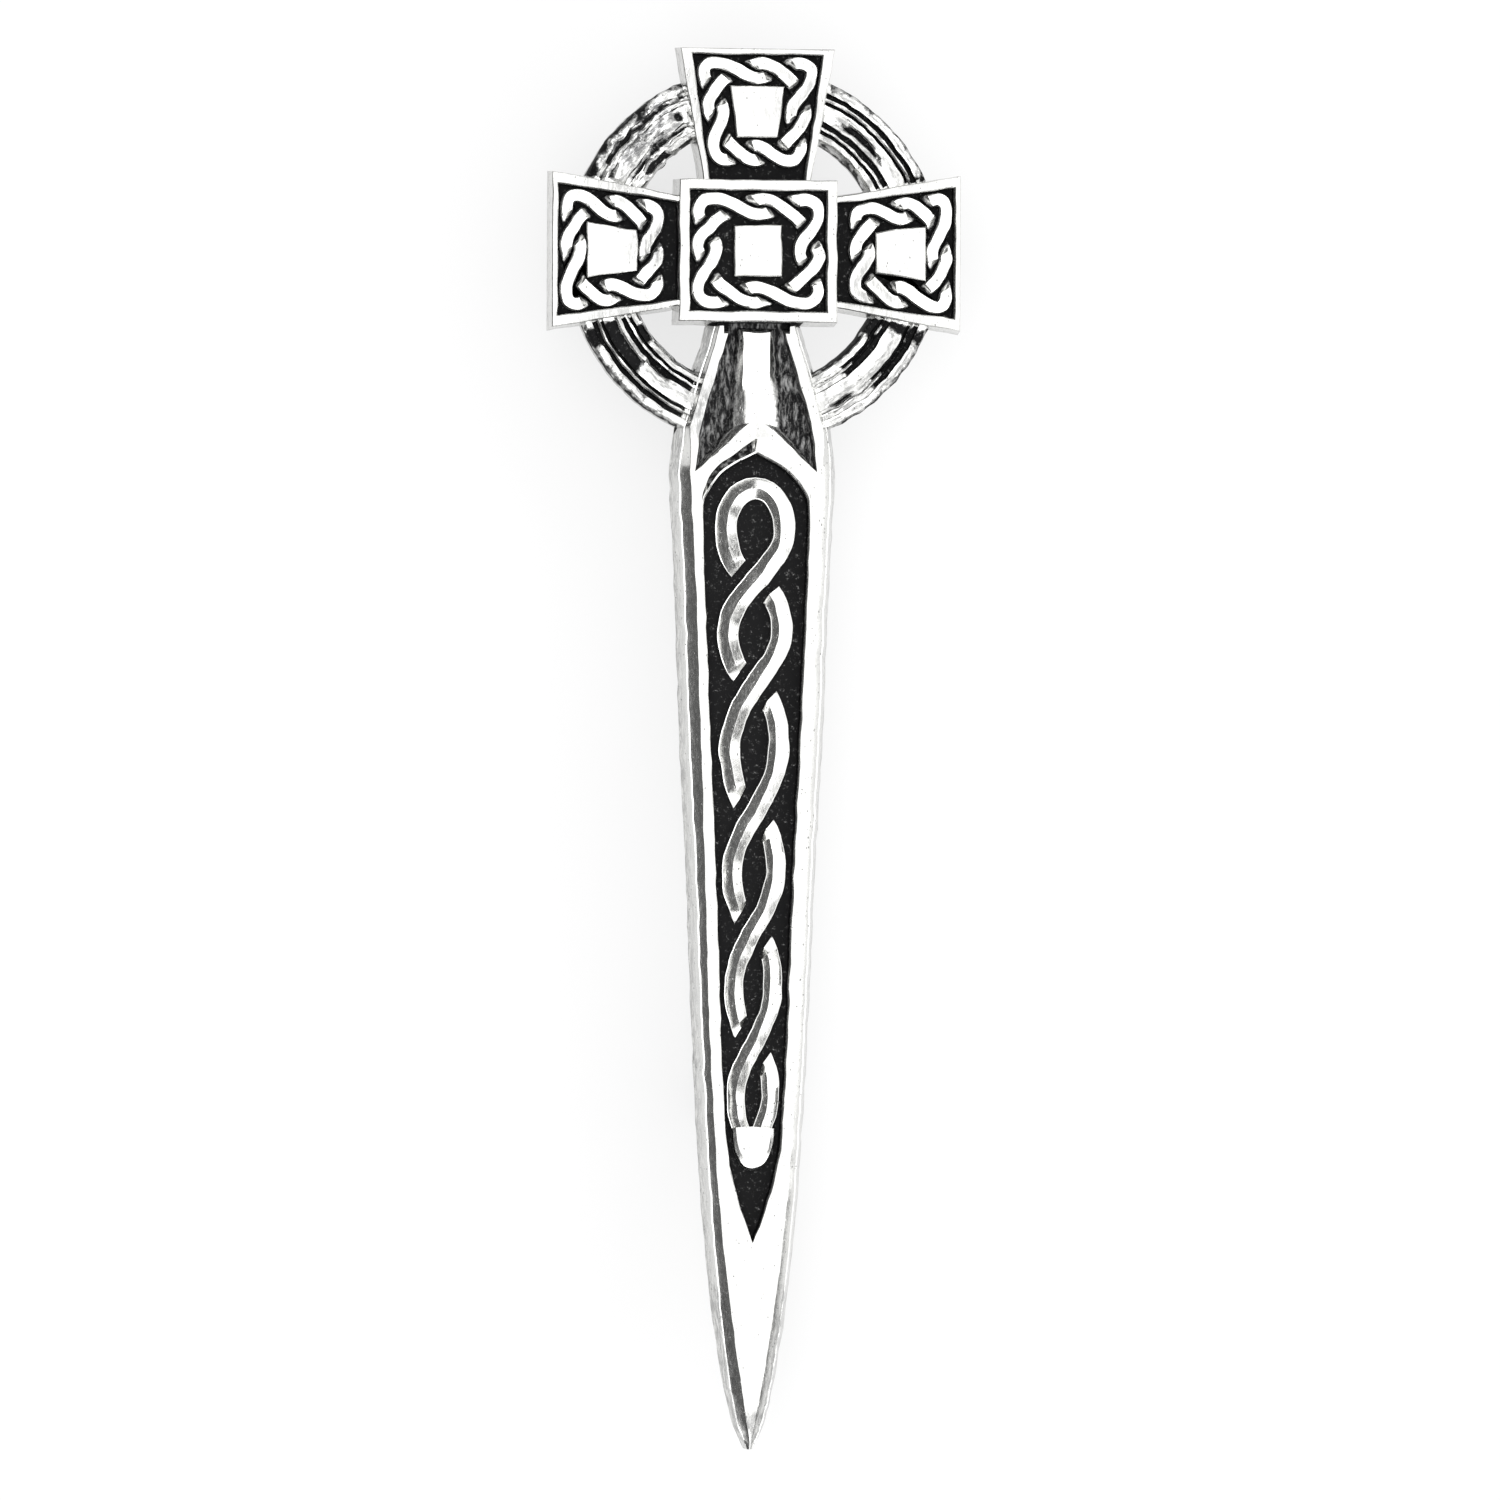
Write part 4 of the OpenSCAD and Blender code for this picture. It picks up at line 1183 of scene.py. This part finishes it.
def eased_box(low, high, ease=0.12):
    """A box with all its edges eased."""
    def outline(inset):
        x0, x1 = low[0] + inset, high[0] - inset
        y0, y1 = low[1] + inset, high[1] - inset
        return [[x0, y0 + ease], [x0 + ease, y0], [x1 - ease, y0], [x1, y0 + ease],
                [x1, y1 - ease], [x1 - ease, y1], [x0 + ease, y1], [x0, y1 - ease]]
    return loft([
        (outline(ease), low[2]), (outline(0), low[2] + ease),
        (outline(0), high[2] - ease), (outline(ease), high[2]),
    ], UNDIVIDED)


def clasp():
    head_y = (BLADE_REACH - TOP_REACH) / 2
    stem_z = FOOT_T + STEM_GAP + STEM_D / 2
    bar_z = stem_z + STEM_D / 2 + CLOTH_H
    hinge_y = head_y - HINGE_DROP
    catch_y = hinge_y - BAR_L + FOOT_L
    half = CLASP_W / 2
    foot_half = FOOT_L / 2
    thing = as_object("steel_clasp", eased_box(
        (-half, catch_y - foot_half, bar_z), (half, hinge_y + foot_half, bar_z + BAR_T)))
    for y in (hinge_y, catch_y):
        combine(thing, eased_box(
            (-half, y - foot_half, 0), (half, y + foot_half, bar_z + BAR_T * FOOT_RISE)))
    combine(thing, eased_box(
        (-STEM_D / 2 - STEM_GAP, catch_y - FOOT_L, FOOT_T),
        (half + SLOT_PAST, catch_y + FOOT_L, FOOT_T + STEM_D + STEM_GAP * 2), SLOT_EASE), "DIFFERENCE")
    end_y = catch_y - foot_half
    sections = [(hinge_y, STEM_D), (end_y + POINT_L, STEM_D)]
    sections += [(end_y + POINT_L * (1 - t), mix(STEM_D, POINT_D, t**TAPER)) for t in POINT_PLACES]
    turns = np.linspace(0, 2 * math.pi, STEM_SIDES, endpoint=False)
    combine(thing, skin([[[d / 2 * math.cos(t), y, stem_z + d / 2 * math.sin(t)] for t in turns]
                         for y, d in sections]))
    finish_mesh(thing, Vector((0, 0, 0)), sharp=40, material=drawn_steel())
    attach(thing, "root")
    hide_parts("pin_clasp")


# The studio
def floor():
    mesh = bpy.data.meshes.new("studio_floor")
    half = 1.5
    corners = [(-half, -half, 0), (half, -half, 0), (half, half, 0), (-half, half, 0)]
    mesh.from_pydata(corners, [], [(0, 1, 2, 3)])
    mesh.materials.append(light_table())
    thing = in_scene("studio_floor", mesh)


def soft_light(name, place, target, size, watts):
    lamp = bpy.data.lights.new(name, "AREA")
    lamp.shape = "RECTANGLE"
    lamp.size, lamp.size_y = size
    lamp.energy = watts
    thing = in_scene(name, lamp)
    thing.location = place
    thing.rotation_euler = (Vector(target) - Vector(place)).to_track_quat("-Z", "Y").to_euler()


def studio():
    world = bpy.data.worlds.new("studio_air")
    bpy.context.scene.world = world
    world.use_nodes = True
    backdrop = world.node_tree.nodes["Background"]
    backdrop.inputs["Color"].default_value = linear("#606060")
    backdrop.inputs["Strength"].default_value = 1.0
    # Each lamp's name, place, target, size and power, in metres and watts
    soft_light("overhead", (0.65, 0.0, 0.80), (0.65, 0.0, 0.0), (2.3, 2.2), 21.0)
    soft_light("overhead_left", (-0.42, 0.0, 0.95), (-0.42, 0.0, 0.0), (0.8, 1.8), 9.0)
    soft_light("right", (1.10, 0.0, 0.20), (0.0, 0.0, 0.05), (0.35, 1.6), 3.0)
    for name, side in (("front", -1), ("back", 1)):
        soft_light(name, (0.75, side * 1.0, 0.62), (0.1, 0.0, 0.0), (1.4, 0.9), 8.0)
    bpy.context.scene.view_settings.view_transform = "Standard"


def camera():
    """The photo's view: from above, a little from the left, at arm's length."""
    yaw = math.radians(7)
    distance = 0.6
    frame_w = 0.10676
    target = Vector((-0.00036, -0.0001, 0.0095))
    roll = math.radians(0.25)
    back = Vector((-math.sin(yaw), 0, math.cos(yaw)))
    across = Vector((0, 1, 0)).cross(back).normalized()
    up = back.cross(across)
    across, up = (across * math.cos(roll) + up * math.sin(roll),
                  up * math.cos(roll) - across * math.sin(roll))
    view = bpy.data.cameras.new("camera")
    view.sensor_width = 36
    view.lens = view.sensor_width * distance / frame_w
    thing = in_scene("camera", view)
    turn = Matrix((across, up, back)).transposed().to_4x4()
    thing.matrix_world = Matrix.Translation(target + back * distance) @ turn
    bpy.context.scene.camera = thing


casting()
clasp()
floor()
studio()
camera()
